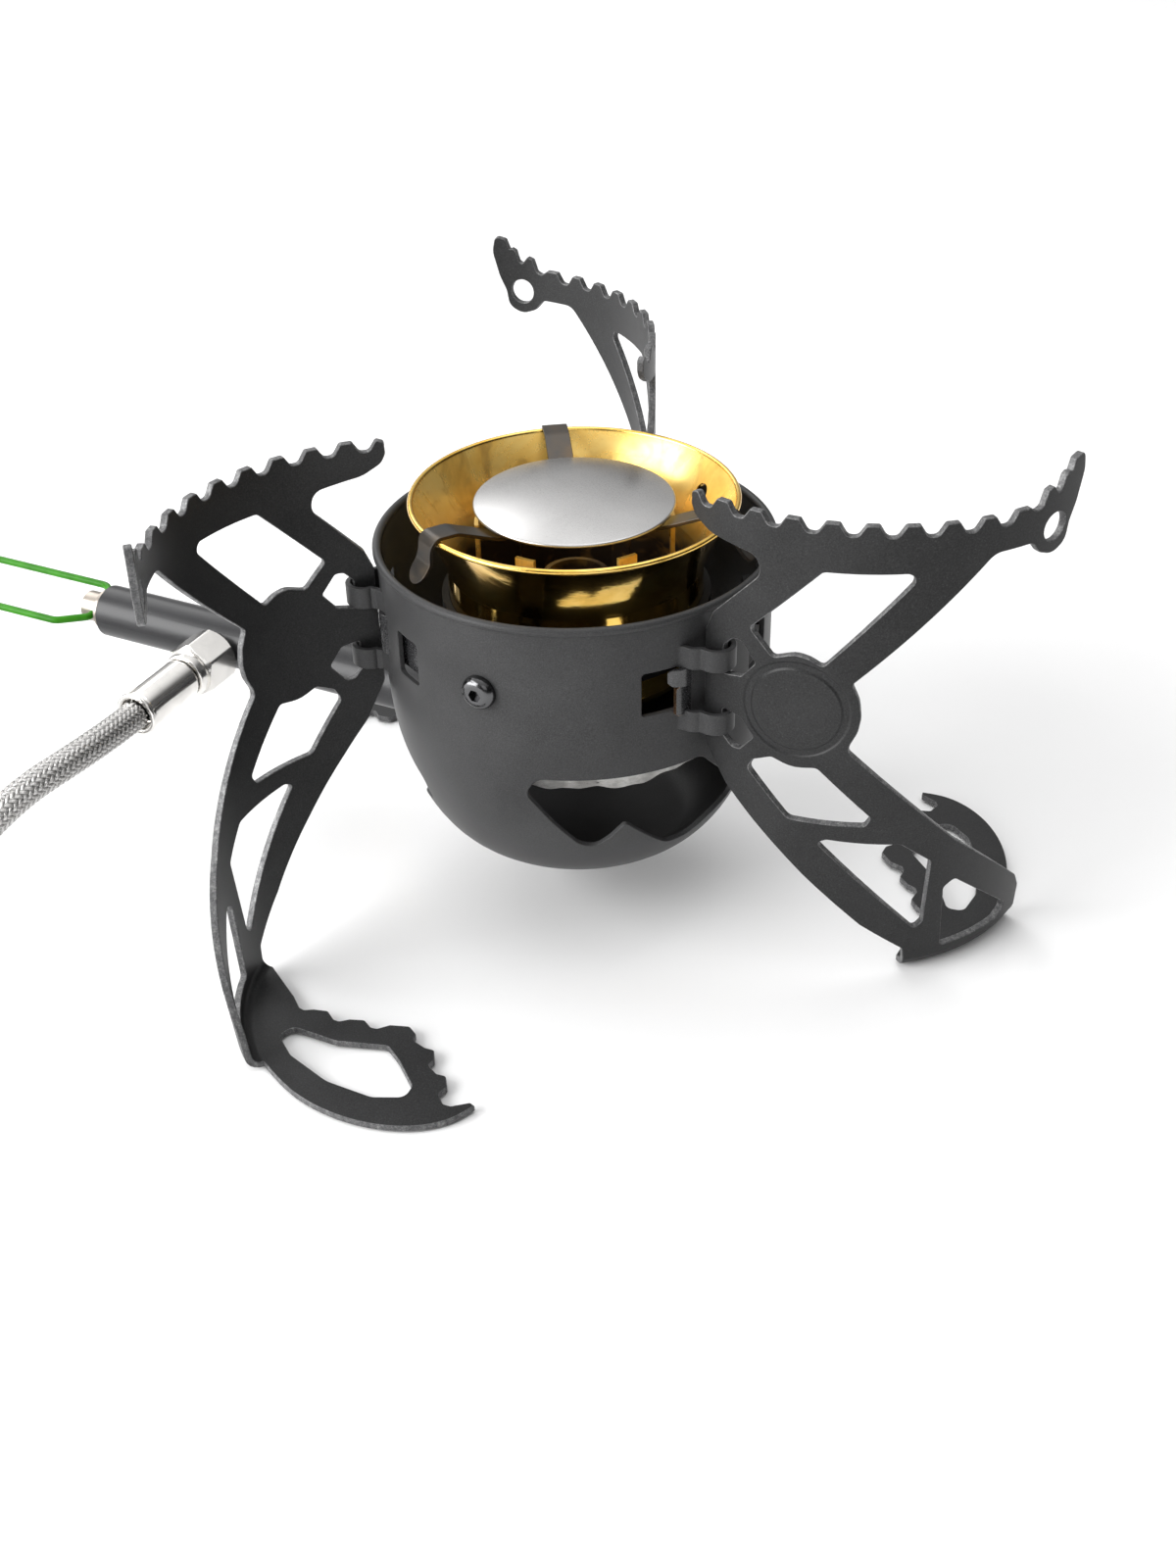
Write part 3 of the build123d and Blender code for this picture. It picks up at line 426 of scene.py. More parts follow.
# ---------------------------------------------------------------- mesh helpers
class Build:
    """Vertices with a normal of their own, faces and material numbers, in millimetres."""

    def __init__(self):
        self.v, self.n, self.f, self.m = [], [], [], []
        self.count = 0

    def put(self, v, n, f, mat=0):
        v, n = np.asarray(v, float).reshape(-1, 3), np.asarray(n, float).reshape(-1, 3)
        self.v.append(v)
        self.n.append(n)
        for i, q in enumerate(f):
            self.f.append(tuple(int(k) + self.count for k in q))
            self.m.append(int(mat if np.isscalar(mat) else mat[i]))
        self.count += len(v)

    def turned(self, a):
        """The same pieces turned about the Z axis by a degrees."""
        c, s = math.cos(rad(a)), math.sin(rad(a))
        r = np.array(((c, -s, 0), (s, c, 0), (0, 0, 1)))
        o = Build()
        o.v, o.n = [x @ r.T for x in self.v], [x @ r.T for x in self.n]
        o.f, o.m, o.count = list(self.f), list(self.m), self.count
        return o

    def obj(self, name, mats, weld=True):
        v, n = np.vstack(self.v), np.vstack(self.n)
        ln = np.linalg.norm(n, axis=1)
        n = n / np.where(ln < 1e-9, 1, ln)[:, None]
        f, m = self.f, self.m
        if weld:
            key = np.round(np.hstack((v / 2e-3, n * 12)), 0)
            _, first, back = np.unique(key, axis=0, return_index=True, return_inverse=True)
            back = back.ravel()
            v, n = v[first], n[first]
            nf, nm = [], []
            for q, k in zip(f, m):
                q = [int(back[i]) for i in q]
                q = [q[i] for i in range(len(q)) if q[i] != q[i - 1]]
                if len(set(q)) >= 3:
                    nf.append(q)
                    nm.append(k)
            f, m = nf, nm
        me = bpy.data.meshes.new(name)
        me.from_pydata((v / 1000).tolist(), [], f)
        for x in mats:
            me.materials.append(x)
        me.polygons.foreach_set("material_index", np.array(m, np.int32))
        me.polygons.foreach_set("use_smooth", np.ones(len(f), bool))
        me.update()
        me.normals_split_custom_set_from_vertices(n.tolist())
        o = bpy.data.objects.new(name, me)
        SCENE.collection.objects.link(o)
        return o


def rounded(points, step=11.0):
    """Closed 2-D loop from (x, y, radius) corners, rounds sampled every few degrees."""
    p = np.array([q[:2] for q in points], float)
    out = []
    n = len(p)
    for i in range(n):
        a, b, c = p[i - 1], p[i], p[(i + 1) % n]
        u, v = a - b, c - b
        lu, lv = np.linalg.norm(u), np.linalg.norm(v)
        u, v = u / lu, v / lv
        ang = math.acos(max(-1.0, min(1.0, float(u @ v))))
        r = points[i][2]
        if r <= 0 or ang > math.pi - 0.02:
            out.append(b)
            continue
        t = min(r / math.tan(ang / 2), 0.46 * lu, 0.46 * lv)
        r = t * math.tan(ang / 2)
        w = (u + v) / np.linalg.norm(u + v)
        o = b + w * (r / math.sin(ang / 2))
        s, e = b + u * t - o, b + v * t - o
        a0 = math.atan2(s[1], s[0])
        da = math.atan2(s[0] * e[1] - s[1] * e[0], float(s @ e))
        k = max(3, int(abs(math.degrees(da)) / step) + 1)
        for j in range(k + 1):
            g = a0 + da * j / k
            out.append(o + r * np.array((math.cos(g), math.sin(g))))
    return np.array(out)


def dense(loop, step, closed=True):
    out = []
    n = len(loop)
    for i in range(n if closed else n - 1):
        a, b = loop[i], loop[(i + 1) % n]
        k = max(1, int(math.ceil(np.linalg.norm(b - a) / step)))
        out += [a + (b - a) * j / k for j in range(k)]
    if not closed:
        out.append(loop[-1])
    keep = [out[0]]
    for q in out[1:]:
        if np.linalg.norm(q - keep[-1]) > 0.02:
            keep.append(q)
    if closed and np.linalg.norm(keep[0] - keep[-1]) < 0.02:
        keep.pop()
    return np.array(keep)


def area(loop):
    x, y = loop[:, 0], loop[:, 1]
    return 0.5 * float(np.sum(x * np.roll(y, -1) - np.roll(x, -1) * y))


def within(pts, loop):
    hit = np.zeros(len(pts), bool)
    x, y = pts[:, 0], pts[:, 1]
    for a, b in zip(loop, np.roll(loop, -1, axis=0)):
        if a[1] == b[1]:
            continue
        c = (a[1] > y) != (b[1] > y)
        hit ^= c & (x < (b[0] - a[0]) * (y - a[1]) / (b[1] - a[1]) + a[0])
    return hit


def plate(bd, F, loops, grid, h, c, is_open=None, extra=None, near=0.65, front=None, mats=(0, 1)):
    """Sheet of thickness 2h over a flat domain bent by F, with small rounded edges c.
    loops: the outline first, then the holes. is_open(p, q) marks stretches of outline that another piece continues.
    extra: more points inside. front(points, P, N): moves and tilts the front face."""
    ll = []
    for i, l in enumerate(loops):
        if (area(l) > 0) != (i == 0):
            l = l[::-1]
        ll.append(np.asarray(l, float))
    edge = np.vstack(ll)
    lo, hi = edge.min(0), edge.max(0)
    gx = np.arange(lo[0] + grid * 0.5, hi[0], grid)
    gy = np.arange(lo[1] + grid * 0.5, hi[1], grid)
    X, Y = np.meshgrid(gx, gy)
    X = X + (np.arange(len(gy)) % 2)[:, None] * grid * 0.5
    pts = np.column_stack((X.ravel(), Y.ravel()))
    if extra is not None:
        ex, clear = extra
        d = np.min(np.linalg.norm(pts[:, None, :] - ex[None, :, :], axis=2), axis=1) if len(ex) else np.full(len(pts), 9.0)
        pts = np.vstack((pts[d > clear], ex))
    ok = within(pts, ll[0])
    for l in ll[1:]:
        ok &= ~within(pts, l)
    pts = pts[ok]
    keep = np.ones(len(pts), bool)
    for s in range(0, len(pts), 800):
        d = np.linalg.norm(pts[s:s + 800, None, :] - edge[None, :, :], axis=2).min(1)
        keep[s:s + 800] = d > near
    pts = pts[keep]
    allp = np.vstack((edge, pts))
    es, base, index = [], 0, []
    for l in ll:
        k = len(l)
        index.append(np.arange(base, base + k))
        es += [(base + j, base + (j + 1) % k) for j in range(k)]
        base += k
    vo, _, fo, vmap, _, _ = geometry.delaunay_2d_cdt([Vector(p) for p in allp], es, [], 0, 1e-6)
    src = np.array([x[0] if x else -1 for x in vmap])
    tri = np.array([[src[i] for i in t] for t in fo if len(t) == 3])
    tri = tri[(tri >= 0).all(1)]
    cen = allp[tri].mean(1)
    ok = within(cen, ll[0])
    for l in ll[1:]:
        ok &= ~within(cen, l)
    tri = tri[ok]
    e1, e2 = allp[tri[:, 1]] - allp[tri[:, 0]], allp[tri[:, 2]] - allp[tri[:, 0]]
    ccw = e1[:, 0] * e2[:, 1] - e1[:, 1] * e2[:, 0]
    tri[ccw < 0] = tri[ccw < 0][:, ::-1]
    P, N = F(allp)
    nf = np.cross(P[tri[:, 1]] - P[tri[:, 0]], P[tri[:, 2]] - P[tri[:, 0]])
    sign = 1.0 if np.sum(nf * N[tri[:, 0]]) > 0 else -1.0
    inset = np.zeros_like(P)
    walls = []
    for l, ix in zip(ll, index):
        k = len(ix)
        p, nn = P[ix], N[ix]
        nxt = np.roll(p, -1, axis=0)
        t = nxt - p
        t /= np.linalg.norm(t, axis=1)[:, None]
        nm = nn + np.roll(nn, -1, axis=0)
        bi = sign * np.cross(nm, t)
        bi /= np.linalg.norm(bi, axis=1)[:, None]
        op = np.array([bool(is_open and is_open(l[j], l[(j + 1) % k])) for j in range(k)])
        bp, opp, tp = np.roll(bi, 1, axis=0), np.roll(op, 1), np.roll(t, 1, axis=0)
        dot = np.clip(np.sum(bi * bp, axis=1), -0.4, 1)
        ins = (bi + bp) / (1 + dot)[:, None]
        out = -(bi + bp)
        for j in range(k):
            if op[j] and opp[j]:
                ins[j] = 0
            elif op[j]:
                ins[j], out[j] = t[j], -bp[j]
            elif opp[j]:
                ins[j], out[j] = -tp[j], -bi[j]
        out /= np.maximum(np.linalg.norm(out, axis=1), 1e-9)[:, None]
        inset[ix] = ins * c
        walls.append((ix, op, out))
    VF, NF = P + N * h + inset, N.copy()
    if front is not None:
        VF, NF = front(allp, VF, NF)
    VB = P - N * h + inset
    ft = tri if sign > 0 else tri[:, ::-1]
    bd.put(VF, NF, ft, mats[0])
    bd.put(VB, -N, ft[:, ::-1], mats[2] if len(mats) > 2 else mats[0])
    for ix, op, out in walls:
        k = len(ix)
        rows = [VF[ix], P[ix] + N[ix] * (h - c), P[ix] - N[ix] * (h - c), VB[ix]]
        nrm = [NF[ix], out, out, -N[ix]]
        q = []
        for a in range(3):
            for j in range(k):
                if op[j]:
                    continue
                j2 = (j + 1) % k
                f = (a * k + j, (a + 1) * k + j, (a + 1) * k + j2, a * k + j2)
                q.append(f if sign > 0 else f[::-1])
        bd.put(np.vstack(rows), np.vstack(nrm), q, mats[1])


def smooth_normals(line, closed=False):
    """Right-hand normals of a 2-D line of points (r, z): to the right of its direction."""
    line = np.asarray(line, float)
    d = np.gradient(line, axis=0)
    if closed:
        d = np.roll(line, -1, axis=0) - np.roll(line, 1, axis=0)
    n = np.column_stack((d[:, 1], -d[:, 0]))
    return n / np.maximum(np.linalg.norm(n, axis=1), 1e-12)[:, None]


def lathe(bd, lines, n=120, origin=(0, 0, 0), axis=(0, 0, 1), mat=0, shape=None):
    """Turns each line of (r, along) points about the axis. The outside is to the right of the line's direction.
    shape(points, angles): moves the points of one line, for parts that aren't quite round."""
    ax = np.asarray(axis, float)
    ax = ax / np.linalg.norm(ax)
    ex = np.cross((0, 0, 1), ax) if abs(ax[2]) < 0.9 else np.array((1.0, 0, 0))
    ex = ex / np.linalg.norm(ex)
    ey = np.cross(ax, ex)
    o = np.asarray(origin, float)
    g = np.linspace(0, 2 * math.pi, n, endpoint=False)
    ring = np.cos(g)[:, None] * ex + np.sin(g)[:, None] * ey
    for line in lines:
        line = np.asarray(line, float)
        nn = smooth_normals(line)
        v, nm, rows = [], [], []
        cnt = 0
        for (r, z), (nr, nz) in zip(line, nn):
            if r < 1e-6:
                v.append((o + ax * z)[None])
                nm.append((ax * (1 if nz >= 0 else -1))[None])
                rows.append((cnt, 1))
                cnt += 1
            else:
                v.append(o + ring * r + ax * z)
                nm.append(ring * nr + ax * nz)
                rows.append((cnt, n))
                cnt += n
        f = []
        for (a, ka), (b, kb) in zip(rows[:-1], rows[1:]):
            for j in range(n):
                k = (j + 1) % n
                if ka == 1 and kb == 1:
                    continue
                if ka == 1:
                    f.append((a, b + k, b + j))
                elif kb == 1:
                    f.append((a + j, a + k, b))
                else:
                    f.append((a + j, a + k, b + k, b + j))
        v, nm = np.vstack(v), np.vstack(nm)
        if shape is not None:
            v = shape(v)
        bd.put(v, nm, f, mat)


def arc(c, r, a0, a1, k=8):
    return [(c[0] + r * math.cos(rad(a0 + (a1 - a0) * i / k)), c[1] + r * math.sin(rad(a0 + (a1 - a0) * i / k))) for i in range(k + 1)]


def path_fillet(pts, radii, step=8.0):
    """Open 3-D path through points with a round at each inner corner."""
    pts = [np.asarray(p, float) for p in pts]
    out = [pts[0]]
    for i in range(1, len(pts) - 1):
        a, b, c = pts[i - 1], pts[i], pts[i + 1]
        u, v = a - b, c - b
        lu, lv = np.linalg.norm(u), np.linalg.norm(v)
        u, v = u / lu, v / lv
        ang = math.acos(max(-1.0, min(1.0, float(u @ v))))
        t = min(radii[i - 1] / math.tan(ang / 2), 0.49 * lu, 0.49 * lv)
        r = t * math.tan(ang / 2)
        w = (u + v) / np.linalg.norm(u + v)
        o = b + w * (r / math.sin(ang / 2))
        s, e = b + u * t - o, b + v * t - o
        tot = math.pi - ang
        k = max(3, int(math.degrees(tot) / step) + 1)
        perp = e - s * float(s @ e) / float(s @ s)
        perp = perp / np.linalg.norm(perp) * r
        out += [o + s * math.cos(tot * j / k) + perp * math.sin(tot * j / k) for j in range(k + 1)]
    out.append(pts[-1])
    return np.array(out)


def frames_of(path, up):
    t = np.gradient(path, axis=0)
    t /= np.linalg.norm(t, axis=1)[:, None]
    x = np.asarray(up, float) - t[0] * float(np.dot(up, t[0]))
    x /= np.linalg.norm(x)
    xs = [x]
    for i in range(1, len(path)):
        x = xs[-1] - t[i] * float(xs[-1] @ t[i])
        xs.append(x / np.linalg.norm(x))
    xs = np.array(xs)
    return t, xs, np.cross(t, xs)


def tube(bd, path, r, n=20, mat=0, up=(0, 0, 1), caps=True):
    t, x, y = frames_of(path, up)
    g = np.linspace(0, 2 * math.pi, n, endpoint=False)
    rr = np.full(len(path), r) if np.isscalar(r) else np.asarray(r)
    nm = np.cos(g)[None, :, None] * x[:, None, :] + np.sin(g)[None, :, None] * y[:, None, :]
    v = path[:, None, :] + nm * rr[:, None, None]
    f = [(i * n + j, i * n + (j + 1) % n, (i + 1) * n + (j + 1) % n, (i + 1) * n + j) for i in range(len(path) - 1) for j in range(n)]
    bd.put(v.reshape(-1, 3), nm.reshape(-1, 3), f, mat)
    if caps:
        bd.put(v[0], np.tile(-t[0], (n, 1)), [tuple(range(n))[::-1]], mat)
        bd.put(v[-1], np.tile(t[-1], (n, 1)), [tuple(range(n))], mat)


def ribbon(bd, line, normals, widths, e1, e2, e3, origin, t, c=0.12, mat=0, mat_edge=None):
    """Bent strip: line of (u, w) points in the plane e1, e2, widths along e3, thickness t, small rounded edges."""
    mat_edge = mat if mat_edge is None else mat_edge
    line, normals = np.asarray(line, float), np.asarray(normals, float)
    o, e1, e2, e3 = (np.asarray(q, float) for q in (origin, e1, e2, e3))
    h = t / 2
    P = o + line[:, :1] * e1 + line[:, 1:] * e2
    Nn = normals[:, :1] * e1 + normals[:, 1:] * e2
    w = (np.full(len(line), widths) if np.isscalar(widths) else np.asarray(widths)) / 2
    sect = [(h, -1, -c, 0), (h, 1, -c, 0), (h - c, 1, 0, 1), (-h + c, 1, 0, 1), (-h, 1, -c, 2), (-h, -1, -c, 2), (-h + c, -1, 0, 3), (h - c, -1, 0, 3)]
    vs, ns = [], []
    for hh, side, ins, kind in sect:
        vs.append(P + Nn * hh + e3 * (side * (w + ins))[:, None])
        ns.append({0: Nn, 1: np.tile(e3, (len(P), 1)), 2: -Nn, 3: np.tile(-e3, (len(P), 1))}[kind])
    k, n = len(sect), len(P)
    v, nn = np.stack(vs, 1).reshape(-1, 3), np.stack(ns, 1).reshape(-1, 3)
    f, m = [], []
    d1 = P[1] - P[0]
    flip = float(np.dot(np.cross(d1, e3), Nn[0])) > 0
    for i in range(n - 1):
        for j in range(k):
            q = (i * k + j, i * k + (j + 1) % k, (i + 1) * k + (j + 1) % k, (i + 1) * k + j)
            f.append(q[::-1] if flip else q)
            m.append(mat if j in (0, 4) else mat_edge)
    bd.put(v, nn, f, m)
    for i, s in ((0, -1), (n - 1, 1)):
        tn = (P[1] - P[0]) * -1 if i == 0 else P[-1] - P[-2]
        tn = tn / np.linalg.norm(tn)
        ring = tuple(range(k))
        nf = np.cross(v[i * k + 1] - v[i * k], v[i * k + 2] - v[i * k + 1])
        nf = nf if np.linalg.norm(nf) > 1e-9 else np.cross(v[i * k + 2] - v[i * k], v[i * k + 4] - v[i * k])
        bd.put(v[i * k:(i + 1) * k], np.tile(tn, (k, 1)), [ring if float(nf @ tn) > 0 else ring[::-1]], mat_edge)


def spline_through(points, k=10, t0=None, t1=None):
    """Smooth line through 2-D points (cubic, chord lengths as knots)."""
    p = np.asarray(points, float)
    d = np.linalg.norm(np.diff(p, axis=0), axis=1)
    n = len(p)
    A, B = np.zeros((n, n)), np.zeros((n, p.shape[1]))
    for i in range(1, n - 1):
        A[i, i - 1], A[i, i], A[i, i + 1] = d[i], 2 * (d[i - 1] + d[i]), d[i - 1]
        B[i] = 3 * (d[i] * (p[i] - p[i - 1]) / d[i - 1] + d[i - 1] * (p[i + 1] - p[i]) / d[i])
    for i, t, j in ((0, t0, 1), (n - 1, t1, n - 2)):
        if t is not None:
            A[i, i] = 1
            B[i] = np.asarray(t, float) / np.linalg.norm(t)
        else:
            A[i, i], A[i, j] = 2, 1
            a, b = (0, 1) if i == 0 else (n - 2, n - 1)
            B[i] = 3 * (p[b] - p[a]) / d[a]
    m = np.linalg.solve(A, B)
    out = []
    for i in range(n - 1):
        for j in range(k):
            s = j / k
            h00, h10, h01, h11 = 2 * s**3 - 3 * s**2 + 1, s**3 - 2 * s**2 + s, -2 * s**3 + 3 * s**2, s**3 - s**2
            out.append(h00 * p[i] + h10 * d[i] * m[i] + h01 * p[i + 1] + h11 * d[i] * m[i + 1])
    out.append(p[-1])
    return np.array(out)


def stay(name, mat):
    """A CAD node that keeps its shape: smooth faces and a finished material."""
    o = NODE[name]
    o.data.materials.clear()
    o.data.materials.append(mat)
    o.data.polygons.foreach_set("use_smooth", np.ones(len(o.data.polygons), bool))
    o.data.update()
    return o


# ---------------------------------------------------------------- hose
P0 = at(INLET_S, 38.7)
ROUTE = [P0, P0 + LD * 8.08, (-115.49, -7.05, 37.25), (-126.23, -16.45, 34.39), (-137.75, -25.51, 26.31),
         (-154.14, -29.91, 14.88), (-166.64, -33.55, 10.9), (-179.18, -37.38, 10.9)]
CX, CY = COIL_C
COIL = []
for k in range(1, 24):
    turn = 21.0 * k
    if turn > 494:
        break
    a = -73.0 - turn
    z = 10.9 if turn < 165 else (3.6 if turn > 262 else 10.9 - 7.3 * (0.5 - 0.5 * math.cos(math.pi * (turn - 165) / 97)))
    COIL.append((CX + 37.6 * math.cos(rad(a)), CY + 37.6 * math.sin(rad(a)), z))
E0 = np.array((-221.031, 18.1516, 3.6))
D2, N2 = pol(1, HEAD - 140), np.array((math.sin(rad(HEAD - 140)), -math.cos(rad(HEAD - 140)), 0))
TAIL = [E0 + D2 * 12.0 + N2 * -0.35 + (0, 0, 0.1), E0 + D2 * 24.0 + N2 * -0.35 + (0, 0, 2.8), E0 + D2 * 36.0 + (0, 0, 2.8)]
POINTS = [np.asarray(p, float) for p in ROUTE + COIL + [E0] + TAIL]


def hose_line():
    cu = bpy.data.curves.new("hose_route", "CURVE")
    cu.dimensions = "3D"
    s = cu.splines.new("NURBS")
    s.points.add(len(POINTS) - 1)
    for q, p in zip(s.points, POINTS):
        q.co = (*(p / 1000), 1.0)
    s.order_u = 3
    s.use_endpoint_u = True
    s.resolution_u = 16
    o = bpy.data.objects.new("hose_route", cu)
    SCENE.collection.objects.link(o)
    bpy.context.view_layer.update()
    me = bpy.data.meshes.new_from_object(o.evaluated_get(bpy.context.evaluated_depsgraph_get()))
    line = np.array([v.co for v in me.vertices], float) * 1000
    bpy.data.meshes.remove(me)
    bpy.data.objects.remove(o)
    return line


def hose():
    line = hose_line()
    seg = np.linalg.norm(np.diff(line, axis=0), axis=1)
    line = line[np.concatenate(([True], seg > 1e-6))]
    cum = np.concatenate(([0], np.cumsum(np.linalg.norm(np.diff(line, axis=0), axis=1))))
    L = cum[-1]
    n, pitch = 16, 2 * math.pi * HOSE_R / 16
    rows = int(round(8 * L / pitch))
    s = np.linspace(0, L, rows + 1)
    P = np.column_stack([np.interp(s, cum, line[:, i]) for i in range(3)])
    ker = np.ones(9) / 9
    Ps = np.column_stack([np.convolve(np.pad(P[:, i], 4, mode="reflect", reflect_type="odd"), ker, mode="valid") for i in range(3)])
    t, x, y = frames_of(Ps, (0, 0, 1))
    m = np.arange(rows + 1)
    q = 2 * np.arange(4 * n)[None, :] + (m % 2)[:, None]
    X, Y = q / 8.0, (m / 8.0)[:, None] + 0 * q

    def height(a, b):
        best = np.full(a.shape, 9.0)
        for da in (-1e-4, 1e-4):
            for db in (-1e-4, 1e-4):
                aa, bb = a + da, b + db
                ia, ib = np.floor(aa), np.floor(bb)
                k = np.mod(ia + ib, 4)
                fa, fb = aa - ia, bb - ib
                top = k < 1.5
                cross = np.where(top, fa, fb)
                first = np.where(top, k < 0.5, np.isclose(k, 2))
                along = np.where(top, fb, fa)
                tt = np.where(first, along, along + 1) / 2
                hh = np.sqrt(np.clip(1 - (2 * cross - 1) ** 2 * 0.92, 0, 1)) * np.clip(np.sin(np.pi * np.clip(tt, 0, 1)), 0, 1) ** 0.45
                edge0 = np.minimum(cross, 1 - cross) < 2e-4
                hh = np.where(edge0, 0, hh)
                best = np.minimum(best, hh)
        return best

    r = HOSE_R - 0.28 + 0.28 * height(X + Y, X - Y)
    g = X / n * 2 * math.pi
    nm = np.cos(g)[:, :, None] * x[:, None, :] + np.sin(g)[:, :, None] * y[:, None, :]
    V = (Ps[:, None, :] + nm * r[:, :, None]).reshape(-1, 3)
    w = 4 * n
    faces, uvs = [], []
    for i in range(rows - 1):
        for k in range(w):
            qq = 2 * k + (i % 2)
            if i % 2 == 0:
                rt_, lf = k, (k - 1) % w
                xr, xl = qq + 1, qq - 1
            else:
                rt_, lf = (k + 1) % w, k
                xr, xl = qq + 1, qq - 1
            faces.append((i * w + k, (i + 1) * w + rt_, (i + 2) * w + k, (i + 1) * w + lf))
            for xx, yy in ((qq, i), (xr, i + 1), (qq, i + 2), (xl, i + 1)):
                uvs.append(((xx + yy) / 8.0 + 48, (xx - yy) / 8.0 + 4 * rows))
    caps = [tuple(range(w))[::-1], tuple(rows * w + j for j in range(w))]
    me = bpy.data.meshes.new("fuel_hose")
    me.from_pydata((V / 1000).tolist(), [], faces + caps)
    uv = me.uv_layers.new(name="braid")
    flat = np.array(uvs + [(0.5, 0.5)] * (2 * w), np.float32)
    uv.data.foreach_set("uv", flat.ravel())
    me.materials.append(M_BRAID)
    me.polygons.foreach_set("use_smooth", np.ones(len(me.polygons), bool))
    me.update()
    o = bpy.data.objects.new("fuel_hose", me)
    SCENE.collection.objects.link(o)
    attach(o, "base")
    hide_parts("hose_tube", "hose_coil", "hose_tail")
    return o, line, L


HOSE, HOSE_LINE, HOSE_LEN = hose()


# ---------------------------------------------------------------- legs
H0 = pol(HINGE_R, HINGE_AZ)
LEG_C = (H0 - pol(LEG_R, LEG_TH_H))[:2]
RB, LEAN, LEAN_Z, LEAN_W = 40.5, 0.0911555, 64.0, 6.0
ALPHA = math.atan(LEAN)
Z_BEND = LEG_T / 2 + FOLD_R
Z_F = Z_BEND - FOLD_R * math.sin(ALPHA)
V_END = Z_F - FOLD_R * (math.pi / 2 - ALPHA)
TH_B, TH_A = -79.0, -33.5


def leg_pattern():
    top = [(-141.7, 109.7, 1.5), (-141.6, 112.2, 0.8)]
    for c in (-136.7, -127.9, -119.2, -110.3, -101.4, -92.7, -83.8, -75.1, -66.5):
        top += [(c - 2.9, TOOTH_Z, 0.6), (c - 1.1, NOTCH_Z, 1.3), (c + 1.1, NOTCH_Z, 1.3), (c + 2.9, TOOTH_Z, 0.6)]
    top += [(-60.2, 112.8, 0.5), (-58.3, 111.6, 0.9), (-56.6, 112.2, 0.9), (-55.4, 115.2, 0.5), (-53.6, 115.7, 0.5), (-52.0, 113.9, 0.8),
            (-50.9, 114.4, 0.8), (-50.0, 117.0, 0.5), (-48.8, 117.6, 0.4), (-48.0, 117.2, 0.5), (-46.9, 119.7, 0.8), (-43.6, 120.4, 1.2)]
    end = [(-42.6, 116.5, 5), (-44.6, 110.2, 8), (-46.6, 106.6, 4), (-47.3, 102.6, 3.2), (-51.6, 100.9, 4), (-56.2, 102.4, 3), (-58.6, 105.0, 2),
           (-68.6, 105.0, 4), (-98.9, 78.4, 2.0)]
    hub = [(HUB_TH + math.degrees(HUB_R * math.cos(rad(t)) / LEG_R), HUB_Z + HUB_R * math.sin(rad(t)), 6) for t in (32, 16, 0, -16, -32)]
    low_r = [(-99.0, 62.1, 2.0), (-84.9, 50.1, 0), (-69.0, 36.5, 0), (-38.6, 14.6, 5), (-34.6, 10.0, 3), (TH_A, Z_F, 0), (TH_A, V_END, 0)]
    low_l = [(TH_B, V_END, 0), (TH_B, Z_F, 0), (-79.7, 6.6, 1.2), (-92.6, 14.6, 0), (-108.9, 27.8, 0), (-122.7, 39.8, 0), (-130.8, 47.3, 8), (-136.4, 56.0, 3)]
    strip = [(-136.4, 83.4, 1.5), (-134.2, 88.0, 3), (-121.6, 99.6, 3.5), (-123.0, 103.4, 3), (-135.6, 105.1, 8), (-140.6, 107.6, 6)]
    wins = [
        [(-124.0, 87.2, 1.0), (-107.2, 102.4, 1.6), (-85.0, 102.8, 1.5), (-106.1, 81.6, 1.0), (-109.2, 83.0, 4), (-112.6, 83.6, 6), (-118.0, 81.9, 1.2)],
        [(-124.0, 53.5, 1.5), (-122.3, 56.2, 1.2), (-117.6, 58.1, 1.2), (-112.4, 56.5, 8), (-106.3, 57.3, 1.5), (-92.3, 45.0, 1.2), (-93.7, 42.8, 1.0), (-113.2, 42.8, 2.0)],
        [(-105.5, 37.4, 1.2), (-103.0, 38.5, 1.5), (-83.9, 37.4, 2.0), (-75.1, 31.6, 1.2), (-74.8, 14.0, 1.2), (-76.8, 12.3, 1.2)],
        [(-69.8, 22.9, 1.5), (-66.7, 24.8, 1.5), (-41.0, 7.4, 1.5), (-45.5, 4.9, 2.0), (-67.6, 5.2, 1.0)],
    ]
    pent = [(-130.8, 60.0, 1.2), (-128.4, 57.8, 1.2), (-126.2, 57.7, 1.2), (-122.2, 61.9, 0.8), (-125.8, 65.8, 0.8), (-130.8, 66.6, 0.6)]
    wins += [pent, [(t, 2 * HUB_Z - z, r) for t, z, r in pent][::-1]]

    def flat(p):
        return rounded([(rad(t) * LEG_R, z, r) for t, z, r in p])

    out = flat(top + end + hub + low_r + low_l + strip)
    holes = [flat(w) for w in wins]
    g = np.linspace(0, 2 * math.pi, 40, endpoint=False)
    holes.append(np.column_stack((rad(-51.8) * LEG_R + 3.0 * np.cos(g), 106.8 + 3.0 * np.sin(g))))
    return out, holes


SHARED = np.linspace(TH_B, TH_A, 34)


